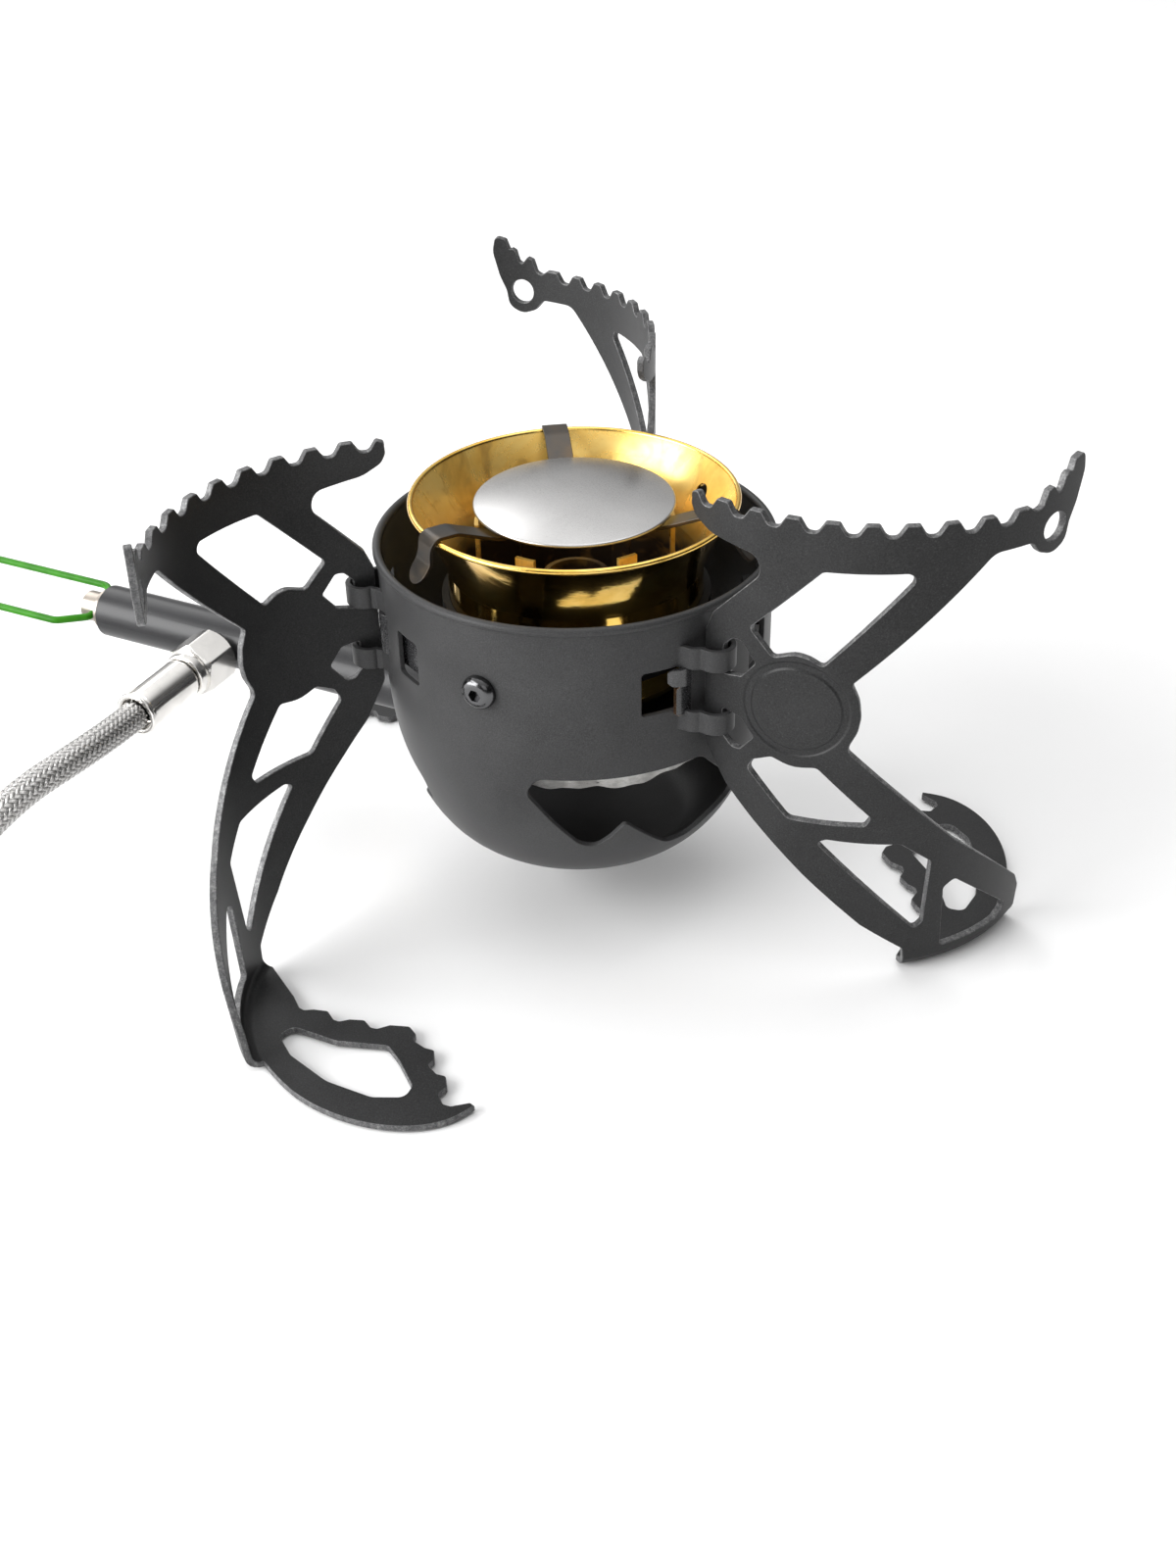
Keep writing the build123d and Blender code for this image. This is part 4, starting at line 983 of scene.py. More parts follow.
def leg_surface(p):
    th = p[:, 0] / LEG_R
    v = p[:, 1]
    # the strip leans inwards below the hub and is folded sharply at the ground
    low = np.clip(LEAN_Z + LEAN_W - v, 0, 2 * LEAN_W)
    drop = np.where(v < LEAN_Z - LEAN_W, LEAN_Z - v, low**2 / (4 * LEAN_W))
    phi = ALPHA + np.clip((Z_F - v) / FOLD_R, 0, math.pi / 2 - ALPHA)
    fold = v < Z_F
    rho = np.where(fold, RB + FOLD_R * np.cos(phi), LEG_R - LEAN * drop)
    z = np.where(fold, Z_BEND - FOLD_R * np.sin(phi), v)
    a = np.where(fold, phi, np.arctan(LEAN * low / (2 * LEAN_W)))
    P = np.column_stack((LEG_C[0] + rho * np.cos(th), LEG_C[1] + rho * np.sin(th), z))
    N = np.column_stack((np.cos(a) * np.cos(th), np.cos(a) * np.sin(th), -np.sin(a)))
    return P, N


HUB_RINGS = ((11.35, 0.0, 0.0), (11.15, -0.06, 0.75), (10.90, -0.20, 0.75), (10.70, -0.26, 0.0),
             (9.75, -0.26, 0.0), (9.55, -0.20, -0.75), (9.30, -0.06, -0.75), (9.10, 0.0, 0.0))


def hub_face(p, V, N):
    """Plain ring groove round the hub, on the outer face."""
    d = p - np.array((rad(HUB_TH) * LEG_R, HUB_Z))
    r = np.linalg.norm(d, axis=1)
    rr = [x[0] for x in HUB_RINGS][::-1]
    off = np.interp(r, rr, [x[1] for x in HUB_RINGS][::-1], left=0, right=0)
    tilt = np.interp(r, rr, [x[2] for x in HUB_RINGS][::-1], left=0, right=0)
    sel = r < 11.36
    V = V + N * np.where(sel, off, 0)[:, None]
    th = p[:, 0] / LEG_R
    e_a = np.column_stack((-np.sin(th), np.cos(th), 0 * th))
    u = d / np.maximum(r, 1e-6)[:, None]
    radial = e_a * u[:, :1] + np.array((0, 0, 1.0)) * u[:, 1:]
    N = N - radial * np.where(sel, tilt, 0)[:, None]
    return V, N / np.linalg.norm(N, axis=1)[:, None]


def leg_mesh():
    bd = Build()
    out, holes = leg_pattern()
    lo, hi = rad(TH_B) * LEG_R, rad(TH_A) * LEG_R
    # the stretch that runs on into the foot plate is cut at the same angles there
    i = [k for k in range(len(out)) if abs(out[k, 1] - V_END) < 1e-6]
    first = min(i)
    line = np.column_stack((np.radians(SHARED[::-1]) * LEG_R, np.full(len(SHARED), V_END)))
    a = dense(np.vstack((out[first + 1:], out[:first + 1])), 1.0, closed=False)
    loop = np.vstack((a, line[1:-1]))
    hub = np.array((rad(HUB_TH) * LEG_R, HUB_Z))
    g = np.linspace(0, 2 * math.pi, 72, endpoint=False)
    ex = np.vstack([hub + q[0] * np.column_stack((np.cos(g), np.sin(g))) for q in HUB_RINGS])
    inside_hub = np.vstack([hub + r * np.column_stack((np.cos(g[::s]), np.sin(g[::s]))) for r, s in ((10.2, 1), (8.0, 2), (6.2, 3), (4.0, 4), (2.0, 6))] + [hub[None]])
    ex = np.vstack((ex, inside_hub))
    ex = ex[within(ex, dense(out, 1.0))]
    plate(bd, leg_surface, [loop] + [dense(h, 1.0) for h in holes], 1.7, LEG_T / 2, 0.2,
          is_open=lambda p, q: abs(p[1] - V_END) < 1e-6 and abs(q[1] - V_END) < 1e-6, extra=(ex, 0.9), near=0.7, front=hub_face)
    # foot plate on the ground
    arc_pts = np.array([LEG_C + RB * np.array((math.cos(rad(t)), math.sin(rad(t)))) for t in SHARED])
    cA = arc_pts[-1]
    outer = spline_through([tuple(cA), (100.2, -12.6), (101.5, -0.8), (99.8, 8.8), (95.6, 16.8), (90.8, 21.0), (86.0, 22.9)], 12)
    serr = [(86.0, 22.9, 0), (85.6, 21.6, 0.5), (88.4, 18.6, 0.9), (88.6, 16.8, 0.9), (86.6, 14.6, 0.9), (84.0, 15.0, 0.9), (81.3, 12.9, 0.9), (81.7, 10.8, 0.9),
            (80.4, 8.0, 0.9), (78.4, 8.2, 0.9), (75.8, 6.4, 0.9), (76.1, 4.2, 0.9), (75.4, 1.0, 0.9), (73.4, 0.2, 0.9), (72.0, -2.4, 0.9), (73.6, -6.4, 0.9),
            (75.9, -8.2, 0.9), (76.2, -9.6, 0.9), (74.9, -12.2, 0.9), (76.2, -15.2, 0.9), (77.8, -16.8, 0.9), (77.9, -18.2, 0.9), (76.2, -21.0, 0.9),
            (77.2, -24.0, 0.9), (78.4, -25.8, 0.9), (78.2, -27.2, 0.9), (75.8, -30.4, 1.5), (arc_pts[0][0], arc_pts[0][1], 0)]
    sr = rounded(serr + [(60.0, 0.0, 0)])
    keep = [p for p in sr if not (abs(p[0] - 60) < 1e-6 and abs(p[1]) < 1e-6)]
    sr = dense(np.array(keep), 0.9, closed=False)
    o2 = dense(outer, 0.9, closed=False)
    loop2 = np.vstack((arc_pts[:-1], o2[:-1], sr[:-1]))
    win = rounded([(x, y, r) for (x, y), r in zip([(87.6, -25.6), (84.0, -24.4), (83.4, -13.6), (79.4, -3.0), (82.2, 1.8), (87.2, 8.4), (90.6, 8.8), (93.8, 2.8), (94.3, -8.3), (91.4, -19.7)],
                                                  [2, 2, 3, 2, 2, 2, 2.5, 4, 8, 4])])

    def flat(p):
        P = np.column_stack((p, np.full(len(p), LEG_T / 2)))
        return P, np.tile((0.0, 0.0, -1.0), (len(p), 1))

    def on_arc(p, q):
        return all(abs(np.linalg.norm(x - LEG_C) - RB) < 1e-6 for x in (p, q)) and np.linalg.norm(p - q) < 1.2

    plate(bd, flat, [loop2, dense(win, 0.9)], 1.7, LEG_T / 2, 0.2, is_open=on_arc, near=0.7)
    return bd


def legs():
    bd = leg_mesh()
    for name, a in (("leg_right", 0), ("leg_back", 120), ("leg_left", 240)):
        o = bd.turned(a).obj(name + "_plate", [M_LEG, M_EDGE])
        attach(o, name)
        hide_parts(name)


legs()


# ---------------------------------------------------------------- windshield cup
def cup_line():
    a, b, e = CUP_R - CUP_FLAT, CUP_Z1 - CUP_ZB, 2.0 / CUP_N
    t = np.linspace(math.pi / 2, 0, 260)
    c, s = np.maximum(np.cos(t), 0), np.maximum(np.sin(t), 0)
    r, z = CUP_FLAT + a * c**e, CUP_Z1 - b * s**e
    nx = np.maximum((r - CUP_FLAT) / a, 0) ** (CUP_N - 1) / a
    nz = -np.maximum((CUP_Z1 - z) / b, 0) ** (CUP_N - 1) / b
    k = np.hypot(nx, nz)
    nx, nz = nx / k, nz / k
    zz = np.linspace(CUP_Z1, BEAD_Z, 24)[1:]
    r, z = np.concatenate((r, np.full(len(zz), CUP_R))), np.concatenate((z, zz))
    nx, nz = np.concatenate((nx, np.ones(len(zz)))), np.concatenate((nz, np.zeros(len(zz))))
    s = np.concatenate(([0], np.cumsum(np.hypot(np.diff(r), np.diff(z)))))
    return r, z, nx, nz, s


CR_, CZ_, CNX, CNZ, CS_ = cup_line()
CUT_AZ = 80.0            # where the wall's sheet is closed, away from windows


def cup_surface(p):
    phi = p[:, 0] / CUP_R
    r, z = np.interp(p[:, 1], CS_, CR_), np.interp(p[:, 1], CS_, CZ_)
    nx, nz = np.interp(p[:, 1], CS_, CNX), np.interp(p[:, 1], CS_, CNZ)
    N = np.column_stack((nx * np.cos(phi), nx * np.sin(phi), nz))
    P = np.column_stack((r * np.cos(phi), r * np.sin(phi), z)) - N * (CUP_T / 2)
    return P, N


def on_cup(loop, az):
    """Loop of (x, z) seen square on at azimuth az, as (arc, length) on the wall."""
    z = loop[:, 1]
    r = np.interp(z, CZ_, CR_)
    s = np.interp(z, CZ_, CS_)
    while az > CUT_AZ:
        az -= 360
    phi = rad(az) + np.arcsin(np.clip(loop[:, 0] / r, -1, 1))
    return np.column_stack((phi * CUP_R, s))


def cup():
    bd = Build()
    W = [(-18.6, 51.5, 4.2), (17.6, 51.5, 3), (24.3, 43.2, 10), (29.2, 38.0, 3), (28.5, 32.0, 3), (22.0, 29.8, 10), (16.3, 26.6, 5),
         (11.2, 27.0, 4), (0.4, 38.2, 1.0), (-2.9, 34.0, 5), (-5.8, 31.2, 4), (-9.3, 32.4, 5), (-14.9, 39.2, 8), (-20.4, 47.0, 2.6)]
    wl = dense(rounded(W), 0.9)
    holes = []
    for az in WIN_AZ:
        l = wl
        if az == 163.0:
            # the valve tube's round way opens the lower edge of this window
            c = np.array((41.5 * math.sin(rad(TUBE_AZ - az)) * 1.02, TUBE_Z))
            g = np.linspace(0, 2 * math.pi, 64, endpoint=False)
            ring = c + (TUBE_R + 0.7) * np.column_stack((np.cos(g), np.sin(g)))
            if area(l) < 0:
                l = l[::-1]
            out_w = np.linalg.norm(l - c, axis=1) > TUBE_R + 0.75
            start = [i for i in range(len(l)) if out_w[i] and not out_w[i - 1]][0]
            lw = np.roll(l, -start, axis=0)
            ow = np.roll(out_w, -start)
            lw = lw[ow]
            out_r = ~within(ring, l)
            st = [i for i in range(len(ring)) if out_r[i] and not out_r[i - 1]][0]
            rr = np.roll(ring, -st, axis=0)[np.roll(out_r, -st)]
            l = np.vstack((lw, rr))
        holes.append(dense(on_cup(l, az), 0.9))
    for k in range(3):
        for a0, a1 in SLOT_AZ:
            mid, hw = (a0 + a1) / 2 + 120 * k, CUP_R * math.sin(rad((a1 - a0) / 2))
            s = rounded([(-hw, SLOT_Z[0], 0.7), (hw, SLOT_Z[0], 0.7), (hw, SLOT_Z[1], 0.7), (-hw, SLOT_Z[1], 0.7)])
            holes.append(dense(on_cup(s, mid), 0.8))
        g = np.linspace(0, 2 * math.pi, 28, endpoint=False)
        holes.append(on_cup(np.column_stack((2.15 * np.cos(g), SCREW_Z + 2.15 * np.sin(g))), SCREW_AZ[k]))
    x0, x1 = rad(CUT_AZ - 360) * CUP_R, rad(CUT_AZ) * CUP_R
    nx = 150
    xs = np.linspace(x0, x1, nx + 1)
    ys = np.linspace(0, CS_[-1], 48)
    loop = np.vstack((np.column_stack((xs, 0 * xs)), np.column_stack((0 * ys[1:] + x1, ys[1:])), np.column_stack((xs[::-1][1:], 0 * xs[1:] + CS_[-1])),
                      np.column_stack((0 * ys[1:-1] + x0, ys[::-1][1:-1]))))
    plate(bd, cup_surface, [loop] + holes, 1.9, CUP_T / 2, 0.22, near=0.8,
          is_open=lambda p, q: (abs(p[1]) < 1e-6 and abs(q[1]) < 1e-6) or (abs(p[1] - CS_[-1]) < 1e-6 and abs(q[1] - CS_[-1]) < 1e-6)
          or (abs(p[0] - x0) < 1e-6 and abs(q[0] - x0) < 1e-6) or (abs(p[0] - x1) < 1e-6 and abs(q[0] - x1) < 1e-6), mats=(0, 0))
    # flat bottom, both faces
    for z, s in ((CUP_ZB, -1), (CUP_ZB + CUP_T, 1)):
        rs = np.linspace(0, CUP_FLAT, 9)
        line = [(r, z) for r in (rs if s < 0 else rs[::-1])]
        lathe(bd, [line], nx, mat=0)
    # rolled rim
    lathe(bd, [[(BEAD_C + BEAD_R * math.cos(g), BEAD_Z + BEAD_R * math.sin(g)) for g in np.linspace(-math.pi * 0.95, math.pi * 1.05, 25)]], 150, mat=0)
    # hinge straps, pressed out of the wall over the leg's strip, with both feet in the wall
    def wall(t):
        return math.sqrt((CUP_R - CUP_T / 2) ** 2 - t * t) - HINGE_R

    for k in range(3):
        az = HINGE_AZ + 120 * k
        er, et = pol(1, az), pol(1, az + 90)
        rm = HOOK_RI + HOOK_T / 2 + 0.05
        foot = [(-6.8, wall(6.8)), (-6.2, wall(6.2) + 0.3), (-5.55, -2.65), (-5.05, -1.5), (-4.4, -0.9), (-3.8, -0.5)]
        ring = [(rm * math.cos(rad(t)), rm * math.sin(rad(t))) for t in range(174, -26, -14)]
        tail = [(3.62, -1.75), (4.05, -2.55), (4.95, -3.25), (6.3, wall(6.3) + 0.2), (7.6, wall(7.6)), (8.8, wall(8.8))]
        line = spline_through(np.array(foot + ring + tail), 5)
        nn = smooth_normals(line) * -1
        for z in HOOK_Z:
            ribbon(bd, line, nn, HOOK_H, et, er, (0, 0, 1), er * HINGE_R + np.array((0, 0, z + HOOK_H / 2)), HOOK_T, 0.25, 0)
        # tongues beside the straps: a dark bulged one above, one with a raw end below, on the other side a plain one
        up = spline_through(np.array([(-3.9, -3.3), (-5.2, -2.75), (-6.9, -2.8), (-8.3, -3.7), (-8.9, -4.6)]), 6)
        ribbon(bd, up, smooth_normals(up) * -1, np.interp(np.arange(len(up)), [0, len(up) - 6, len(up) - 1], [4.8, 4.0, 2.6]), et, er, (0, 0, 1), er * HINGE_R + np.array((0, 0, 73.8)), 1.0, 0.22, 2)
        lo = spline_through(np.array([(-4.1, -3.7), (-5.4, -3.35), (-6.9, -3.1), (-8.2, -3.25)]), 6)
        ribbon(bd, lo, smooth_normals(lo) * -1, np.interp(np.arange(len(lo)), [0, len(lo) - 4, len(lo) - 1], [7.4, 7.0, 6.2]), et, er, (0, 0, 1), er * HINGE_R + np.array((0, 0, 68.4)), 1.1, 0.12, 2, 1)
        far = spline_through(np.array([(3.7, -3.4), (5.0, -2.95), (6.4, -3.1), (7.7, wall(7.7) + 0.3), (8.9, wall(8.9) - 0.3)]), 6)
        ribbon(bd, far, smooth_normals(far) * -1, 9.6, et, er, (0, 0, 1), er * HINGE_R + np.array((0, 0, 71.0)), 1.0, 0.2, 2)
        # the slot's sheet, pressed inwards
        lap = spline_through(np.array([(10.3, wall(10.3) - 0.2), (11.8, wall(11.8) - 1.3), (15.0, wall(15.0) - 2.2), (19.6, wall(19.6) - 2.4)]), 6)
        ribbon(bd, lap, smooth_normals(lap) * -1, 9.4, et, er, (0, 0, 1), er * HINGE_R + np.array((0, 0, 71.0)), 0.9, 0.15, 2)
    o = bd.obj("cup_shell", [M_CUP, M_RAW, M_DARKSTEEL])
    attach(o, "base")
    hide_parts("windshield_cup")


cup()


# ---------------------------------------------------------------- burner
def bowl():
    bd = Build()
    zf, R0, zc = 57.6, 28.0, 81.5
    ol = spline_through([(R0, zc), (30.0, 86.8), (32.5, 91.8), (35.3, 96.1)], 16, (0.36, 1), (1, 1.4))
    il = spline_through([(R0 - 0.9, zc + 0.15), (29.17, 87.16), (31.72, 92.25), (34.6, 96.62)], 16, (0.36, 1), (1, 1.4))
    mid = (ol + il) / 2
    s = np.concatenate(([0], np.cumsum(np.linalg.norm(np.diff(mid, axis=0), axis=1))))
    nn = ol - il
    nn /= np.linalg.norm(nn, axis=1)[:, None]
    U = 31.0

    def F(p):
        phi = p[:, 0] / U
        r, z = np.interp(p[:, 1], s, mid[:, 0]), np.interp(p[:, 1], s, mid[:, 1])
        a, b = np.interp(p[:, 1], s, nn[:, 0]), np.interp(p[:, 1], s, nn[:, 1])
        return np.column_stack((r * np.cos(phi), r * np.sin(phi), z)), np.column_stack((a * np.cos(phi), a * np.sin(phi), b))

    ph = np.radians(np.arange(-160, 201, 2.0)) * U
    ys = np.linspace(0, s[-1], 14)
    loop = np.vstack((np.column_stack((ph, 0 * ph)), np.column_stack((0 * ys[1:] + ph[-1], ys[1:])), np.column_stack((ph[::-1][1:], 0 * ph[1:] + s[-1])),
                      np.column_stack((0 * ys[1:-1] + ph[0], ys[::-1][1:-1]))))
    g = np.linspace(0, 2 * math.pi, 36, endpoint=False)
    sh = float(np.interp(90.2, mid[:, 1], s))
    hole = np.column_stack((rad(24.5) * U + 2.0 * np.cos(g), sh + 2.15 * np.sin(g)))
    lo, hi = loop.min(0), loop.max(0)
    plate(bd, F, [loop, hole], 1.6, 0.45, 0.16, near=0.7, mats=(0, 0, 1),
          is_open=lambda p, q: any(abs(p[i] - e[i]) < 1e-6 and abs(q[i] - e[i]) < 1e-6 for i in (0, 1) for e in (lo, hi)))
    outer = [(7.3, zf), (15, zf), (20, zf), (R0 - 3, zf)] + arc((R0 - 3, zf + 3), 3.0, -90, 0, 8)[1:] + [(R0, z) for z in (64, 67, 70, 73, 76, 79, zc)]
    ri = R0 - 0.9
    inner = [(ri, z) for z in (zc + 0.15, 79, 76, 73, 70, 67, 64)] + arc((R0 - 3, zf + 3), 2.1, 0, -90, 8) + [(20, zf + 0.9), (15, zf + 0.9), (7.3, zf + 0.9)]
    lathe(bd, [outer, [(7.3, zf + 0.9), (7.3, zf)]], 180)
    lathe(bd, [inner], 180, mat=1)
    # rolled rim, with the thin shadow line inside it
    lathe(bd, [[(35.1 + 0.62 * math.cos(a), 96.55 + 0.62 * math.sin(a)) for a in np.linspace(-math.pi * 0.8, math.pi * 0.93, 22)]], 180, mat=2)
    o = bd.obj("bowl_shell", [M_BRASS, M_BRASS_IN, M_BRASS_RIM])
    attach(o, "base")
    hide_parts("burner_bowl")


bowl()


def spreader():
    bd = Build()
    R, z0, d = 21.7, 95.7, 2.4
    Rs = (R * R + d * d) / (2 * d)
    zc = z0 + d - Rs
    rs = np.linspace(0, R - 0.35, 26)
    top = [(r, zc + math.sqrt(Rs**2 - r**2)) for r in rs]
    bot = [(r, z - 0.9) for r, z in top]
    e = np.array(top[-1]), np.array(bot[-1])
    mid = (e[0] + e[1]) / 2
    rim = [(mid[0] + 0.45 * math.cos(g), mid[1] + 0.45 * math.sin(g)) for g in np.linspace(-math.pi / 2 + 0.1, math.pi / 2 - 0.1, 8)]
    lathe(bd, [bot[:] + rim + top[::-1]], 150)
    o = bd.obj("spreader_disc", [M_STEEL])
    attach(o, "spreader")
    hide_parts("flame_spreader")

    bd = Build()
    za, t = 92.8, 0.8
    h = t / 2
    for a in (97.0, 213.5, 337.8):
        e1 = pol(1, a)
        p3 = path_fillet([(0.0, 0, za + h), (20.3, 0, za + h), (30.5, 0, 97.08 + h), (36.35, 0, 97.3 + h), (37.3, 0, 92.3), (40.25, 0, 88.25)], [6.0, 4.0, 2.3, 2.6], 7)
        line = p3[:, [0, 2]]
        seg = np.concatenate(([0], np.cumsum(np.linalg.norm(np.diff(line, axis=0), axis=1))))
        s = np.unique(np.concatenate((np.linspace(0, seg[-1], 80), np.linspace(seg[-1] - 3.2, seg[-1], 26), seg)))
        line = np.column_stack((np.interp(s, seg, line[:, 0]), np.interp(s, seg, line[:, 1])))
        n0 = smooth_normals(line) * -1
        left = seg[-1] - s
        w = np.full(len(s), 5.7)
        w = np.where((left >= 4.6) & (left < 10.2), 5.7 - 0.9 * np.sin(np.pi * (left - 4.6) / 5.6) ** 2, w)
        w = np.where(left < 3.1, 5.7 * np.sqrt(np.clip(1 - ((3.1 - left) / 3.14) ** 2, 0.02, 1)), w)
        ribbon(bd, line, n0, w, e1, (0, 0, 1), np.cross(e1, (0, 0, 1)), (0, 0, 0), t, 0.14)
    o = bd.obj("spreader_strip", [M_HEAT])
    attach(o, "spreader")
    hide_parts("spreader_arms")
    stay("spreader_stud", M_STEEL)


spreader()


def pad():
    bd = Build()
    z0, z1, zs = 45.5, 51.7, 42.9
    prof = [(8.7, z0 + 0.05)] + [(r, z0 + 0.05) for r in np.linspace(10, 31.6, 12)] + [(32.1, z0 - 0.4), (32.15, zs + 1.0)] + arc((33.2, zs + 1.1), 1.0, -170, 0, 7) \
        + [(34.25, z) for z in np.linspace(zs + 1.6, z1 - 1.8, 9)] + arc((32.9, z1 - 1.5), 1.3, 0, 90, 5) + [(r, z1 - 0.2) for r in np.linspace(31, 10, 14)] + [(8.7, z1 - 0.2), (8.65, z0 + 1)]

    def rough(v):
        out = v.copy()
        for i, p in enumerate(v):
            q = Vector(p)
            d = noise.noise(q * 0.55) * 0.30 + noise.noise(q * 1.6) * 0.22
            r = math.hypot(p[0], p[1])
            k = 1 + (0.55 * d - 0.1) / max(r, 1)
            dz = d * 0.6 if r > 31 or p[2] > z0 + 0.3 else 0
            out[i] = (p[0] * k, p[1] * k, p[2] + dz)
            if p[2] < z0 - 0.6:
                g = math.atan2(p[1], p[0])
                out[i][2] += 0.35 * math.sin(7 * g + 0.6) + 0.30 * math.sin(13 * g + 2.1) + 0.22 * math.sin(29 * g)+ 0.35
            away = abs((math.degrees(math.atan2(p[1], p[0])) - TUBE_AZ + 180) % 360 - 180)
            if p[2] < z0 and away < 16:
                out[i][2] = z0 + 0.05
        return out

    lathe(bd, [prof], 260, shape=rough)
    o = bd.obj("pad_fibre", [M_PAD], weld=False)
    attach(o, "base")
    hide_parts("priming_pad")


pad()

# the flame ring, its posts and the mixing tube sit low, so the painted shade of brass_inside makes them dark brown
for name, mat in (("flame_ring", M_BRASS_IN), ("flame_ring_posts", M_BRASS_IN), ("mixing_tube", M_BRASS_IN), ("jet_block", M_BRASS), ("pad_tray", M_SHADE_BLACK), ("jet_nipple", M_BRASS),
                  # the bracket, the pad tray above and the screw nuts take the near-black painted shade
                  ("burner_posts", M_STEEL), ("burner_bracket", M_SHADE_BLACK), ("cup_screws", M_SCREW), ("cup_screw_nuts", M_SHADE_BLACK),
                  ("valve_tube", M_TUBE), ("gland_nut", M_NICKEL2), ("gland_seal", M_RUBBER), ("valve_spindle", M_NICKEL2)):
    stay(name, mat)


# ---------------------------------------------------------------- valve handle and hose ends
def handle():
    hp = [(CROSS_S, 1.4), (CROSS_S, 5.3), (CROSS_S + 6.6, 10.4), (198.0, 10.4), (198.0, -10.4), (CROSS_S + 6.6, -10.4), (CROSS_S, -5.3), (CROSS_S, -1.4)]
    p = path_fillet([at(s, v) for s, v in hp], [1.6, 4.0, 8.5, 8.5, 4.0, 1.6], 6)
    bd = Build()
    tube(bd, p, WIRE_R, 24)
    o = bd.obj("handle_wire", [M_GREEN])
    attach(o, "handle")
    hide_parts("control_handle")


handle()


def hex_nut(bd, origin, axis, x_dir, length, bore, collar=None, mat=0, turn=0.0):
    """Hexagon nut with rounded corners, chamfered ends and a bore at its far end."""
    ax = np.asarray(axis, float)
    ex = np.asarray(x_dir, float)
    ey = np.cross(ax, ex)
    o = np.asarray(origin, float)
    per = 22
    g = []
    for k in range(6):
        u = np.linspace(-1, 1, per, endpoint=False)
        g += list(60 * k + 30 * np.sign(u) * np.abs(u) ** 0.55)
    g = np.radians(np.array(g) + turn)
    d = np.mod(np.degrees(g) - turn + 30, 60) - 30
    flat = (NUT_AF / 2) / np.cos(np.radians(d))
    flat = np.minimum(flat, 7.05 - 0.0)
    st = sorted(set([0, length] + list(np.linspace(0, 1.1, 9)) + list(length - np.linspace(0, 1.1, 9)) + list(np.linspace(1.1, length - 1.1, 5))))
    V, N = [], []
    for w in st:
        lim = 6.15 + min(w, length - w, 0.95) * 0.95
        r = np.minimum(flat, lim)
        V.append(o + ax * w + (r * np.cos(g))[:, None] * ex + (r * np.sin(g))[:, None] * ey)
        gm = np.radians(np.round((np.degrees(g) - turn) / 60) * 60 + turn)
        nf = np.cos(gm)[:, None] * ex + np.sin(gm)[:, None] * ey
        corner = np.clip((np.abs(d) - 26.5) / 3.5, 0, 1)[:, None]
        nr = np.cos(g)[:, None] * ex + np.sin(g)[:, None] * ey
        nf = nf * (1 - corner) + nr * corner
        cone = (flat > lim + 1e-6)[:, None]
        tilt = -ax if w < length / 2 else ax
        N.append(np.where(cone, nr + 0.95 * tilt, nf))
    n = len(g)
    f = [(i * n + j, i * n + (j + 1) % n, (i + 1) * n + (j + 1) % n, (i + 1) * n + j) for i in range(len(st) - 1) for j in range(n)]
    bd.put(np.vstack(V), np.vstack(N), f, mat)
    r0 = 6.15
    lathe(bd, [[(bore[0] if bore and bore[2] == 0 else 0.0, 0.0), (r0, 0.0)]], 132, o, ax, mat)
    if bore:
        rb, depth, _ = bore
        lathe(bd, [[(r0, length), (rb + 0.35, length)], arc((rb + 0.35, length - 0.35), 0.35, 90, 180, 4), [(rb, length - 0.35), (rb, length - depth)], [(rb, length - depth), (0.0, length - depth)]], 90, o, ax, mat)
    else:
        lathe(bd, [[(r0, length), (4.0, length)]], 90, o, ax, mat)
    return bd


def hose_ends():
    # at the valve: nut with collar, then the crimped ferrule with its rolled lip
    bd = Build()
    hex_nut(bd, at(INLET_S, 7.0), LD, TD, 10.4, None)
    lathe(bd, [arc((5.3, 17.2), 0.35, -60, 0, 3)[:1] + [(5.72, 17.3), (5.72, 19.6)] + arc((5.35, 19.75), 0.37, 0, 90, 5) + [(4.9, 20.15)]], 110, at(INLET_S, 0), LD)
    o = bd.obj("nut_valve_end", [M_NICKEL])
    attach(o, "base")
    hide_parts("hose_nut")
    for name, node, org, ax, L in (("ferrule_valve_end", "hose_ferrule", at(INLET_S, 20.4), LD, 18.3), ("ferrule_far_end", "coupling_ferrule", None, None, 18.0)):
        bd = Build()
        if org is None:
            org, ax = FAR_F + FAR_D * 18.0, -FAR_D
        body = [(4.2, -0.3), (4.45, -0.3), (4.5, 0.25)] + arc((4.5, 0.85), 0.6, -70, 0, 6) + [(5.1, 1.6), (5.1, 2.4)]
        body += [(5.1, z) for z in np.linspace(3.0, L - 1.6, 7)] + [(5.06, L - 1.3), (4.98, L - 1.05), (5.0, L - 0.85)] + arc((4.95, L - 0.3), 0.5, -50, 90, 8)
        body += arc((4.5, L - 0.25), 0.45, 90, 180, 6)[1:] + [(4.02, L - 1.0), (3.95, L - 3.0), (3.4, L - 3.0)]
        lathe(bd, [body], 120, org, ax)
        o = bd.obj(name, [M_NICKEL])
        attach(o, "base")
        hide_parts(node)
    bd = Build()
    hex_nut(bd, FAR_F + FAR_D * 18.0, FAR_D, np.array((0, 0, 1.0)), 12.0, (4.0, 9.0, 1))
    o = bd.obj("nut_far_end", [M_NICKEL])
    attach(o, "base")
    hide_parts("coupling_nut")


FAR_F = E0 + D2 * 36.0 + np.array((0, 0, 2.8))
FAR_D = (FAR_F - (E0 + D2 * 24.0 + N2 * -0.35 + np.array((0, 0, 2.8))))
FAR_D = FAR_D / np.linalg.norm(FAR_D)
hose_ends()
stay("hose_tie", M_RUBBER)


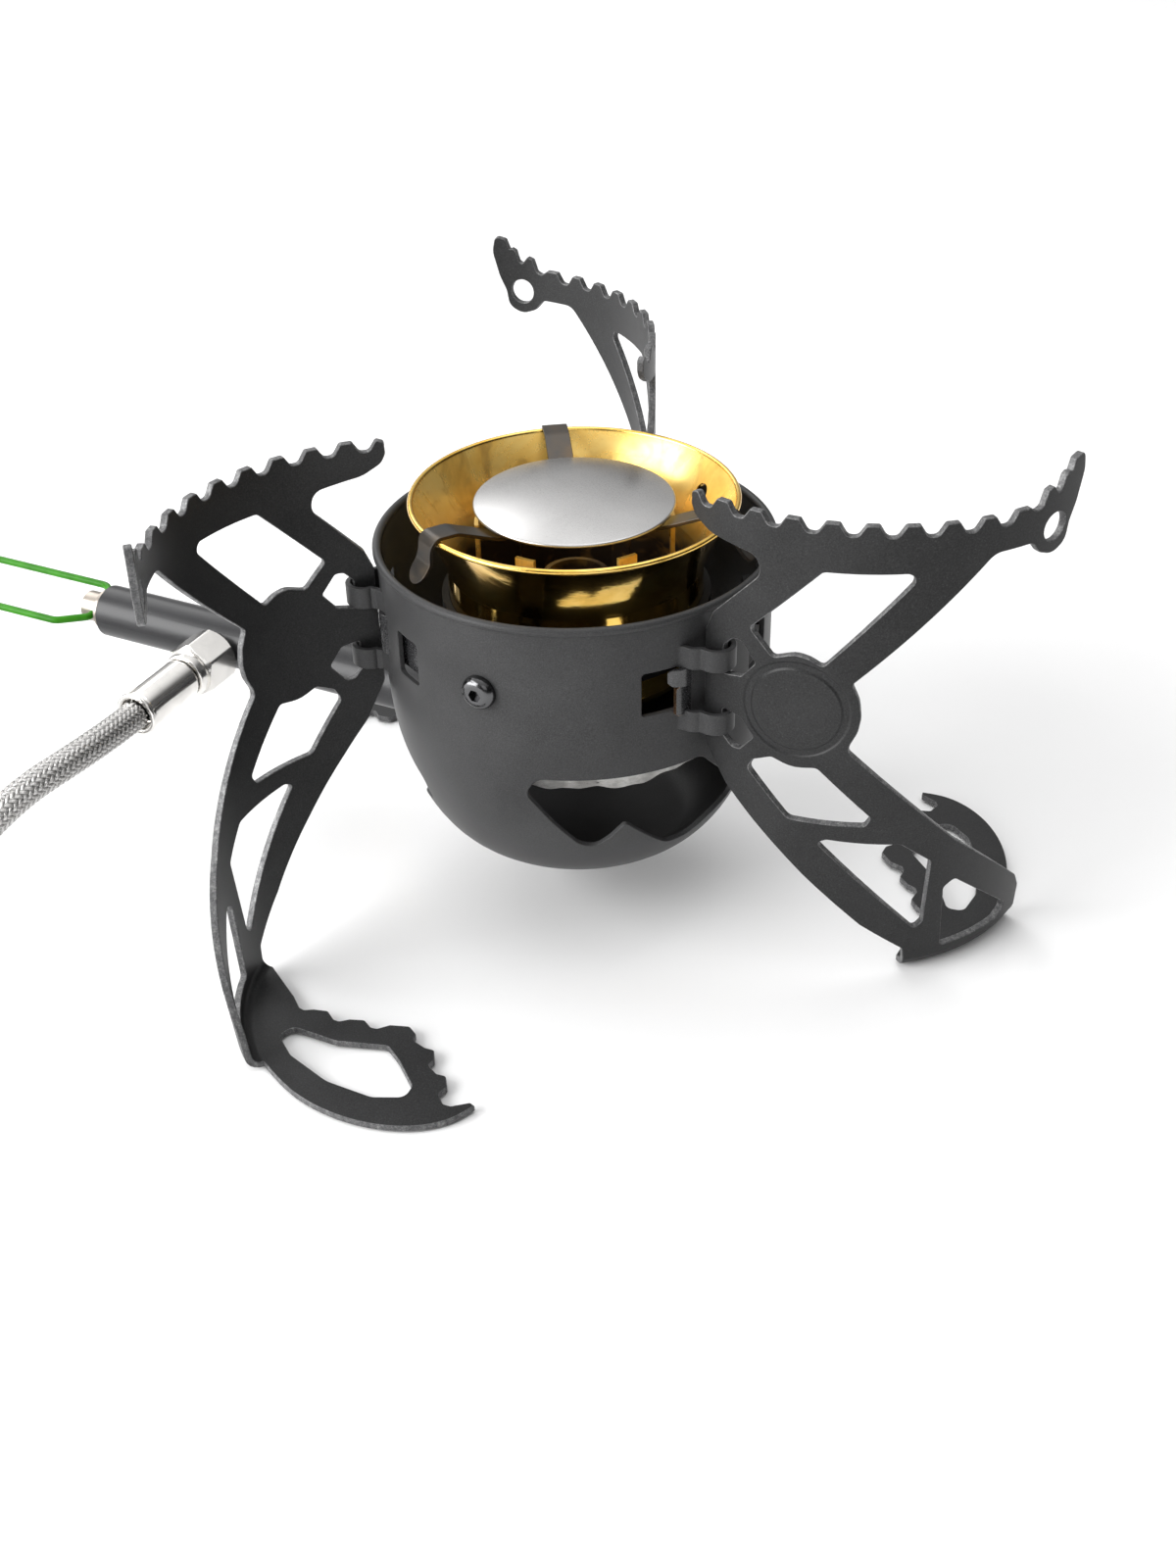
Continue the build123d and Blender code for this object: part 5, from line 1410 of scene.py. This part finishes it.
# ---------------------------------------------------------------- floor, light
def stage():
    me = bpy.data.meshes.new("floor")
    s = 6.0
    me.from_pydata([(-s, -s, 0), (s, -s, 0), (s, s, 0), (-s, s, 0)], [], [(0, 1, 2, 3)])
    m, nt, b = new_mat("floor_white")
    n = noise_node(nt, coords(nt), 6.0, 2.0)
    put(nt, ramp(nt, n, [(0.3, (0.86, 0.86, 0.86)), (0.7, (0.88, 0.88, 0.88))]), b.inputs["Base Color"])
    b.inputs["Roughness"].default_value = 0.7
    b.inputs["Specular IOR Level"].default_value = 0.1
    me.materials.append(m)
    o = bpy.data.objects.new("floor", me)
    o.location.z = -0.0004
    SCENE.collection.objects.link(o)
    w = bpy.data.worlds.new("studio")
    SCENE.world = w
    w.use_nodes = True
    nt = w.node_tree
    bg = nt.nodes["Background"]
    tc = add(nt, "ShaderNodeTexCoord")
    dot = add(nt, "ShaderNodeVectorMath", operation="DOT_PRODUCT")
    put(nt, tc.outputs["Generated"], dot.inputs[0])
    dot.inputs[1].default_value = (-0.50, 0.80, 0.33)
    side = span(nt, dot.outputs["Value"], 0.0, 1.0, -0.8, 1.0)
    glow = ramp(nt, side, [(0.0, (0.03, 0.03, 0.03)), (0.40, (0.08, 0.08, 0.08)), (0.70, (0.40, 0.40, 0.40)), (0.88, (0.72, 0.72, 0.72)), (1.0, (0.95, 0.95, 0.95))])
    sep = add(nt, "ShaderNodeSeparateXYZ")
    put(nt, tc.outputs["Generated"], sep.inputs[0])
    rise = ramp(nt, sep.outputs["Z"], [(0.0, (0.46, 0.46, 0.46)), (0.30, (0.66, 0.66, 0.66)), (0.55, (1.0, 1.0, 1.0)), (1.0, (0.72, 0.72, 0.72))])
    top = ramp(nt, sep.outputs["Z"], [(0.55, (0.0, 0.0, 0.0)), (0.76, (0.60, 0.60, 0.60)), (1.0, (0.80, 0.80, 0.80))])
    put(nt, mixc(nt, 1.0, mixc(nt, 1.0, glow, rise, "MULTIPLY"), top, "ADD"), bg.inputs["Color"])
    bg.inputs["Strength"].default_value = 1.0

    def lamp(name, loc, to, size, power, size_y=None):
        d = bpy.data.lights.new(name, "AREA")
        d.energy = power
        d.shape = "RECTANGLE"
        d.size, d.size_y = size, size_y or size
        q = bpy.data.objects.new(name, d)
        q.location = loc
        q.rotation_euler = (Vector(to) - Vector(loc)).to_track_quat("-Z", "Y").to_euler()
        SCENE.collection.objects.link(q)

    lamp("key_box", (-1.08, 1.48, 1.40), (0, 0, 0.05), 1.5, 13.0, 1.0)
    lamp("top_box", (0.25, 0.45, 2.2), (0.1, 0.2, 0.0), 1.4, 8.0)
    lamp("left_box", (-1.25, -0.45, 0.6), (0, 0, 0.03), 1.3, 36.0, 1.0)
    lamp("front_box", (0.15, -1.5, 0.95), (0, 0, 0.08), 1.1, 3.0, 0.8)


stage()
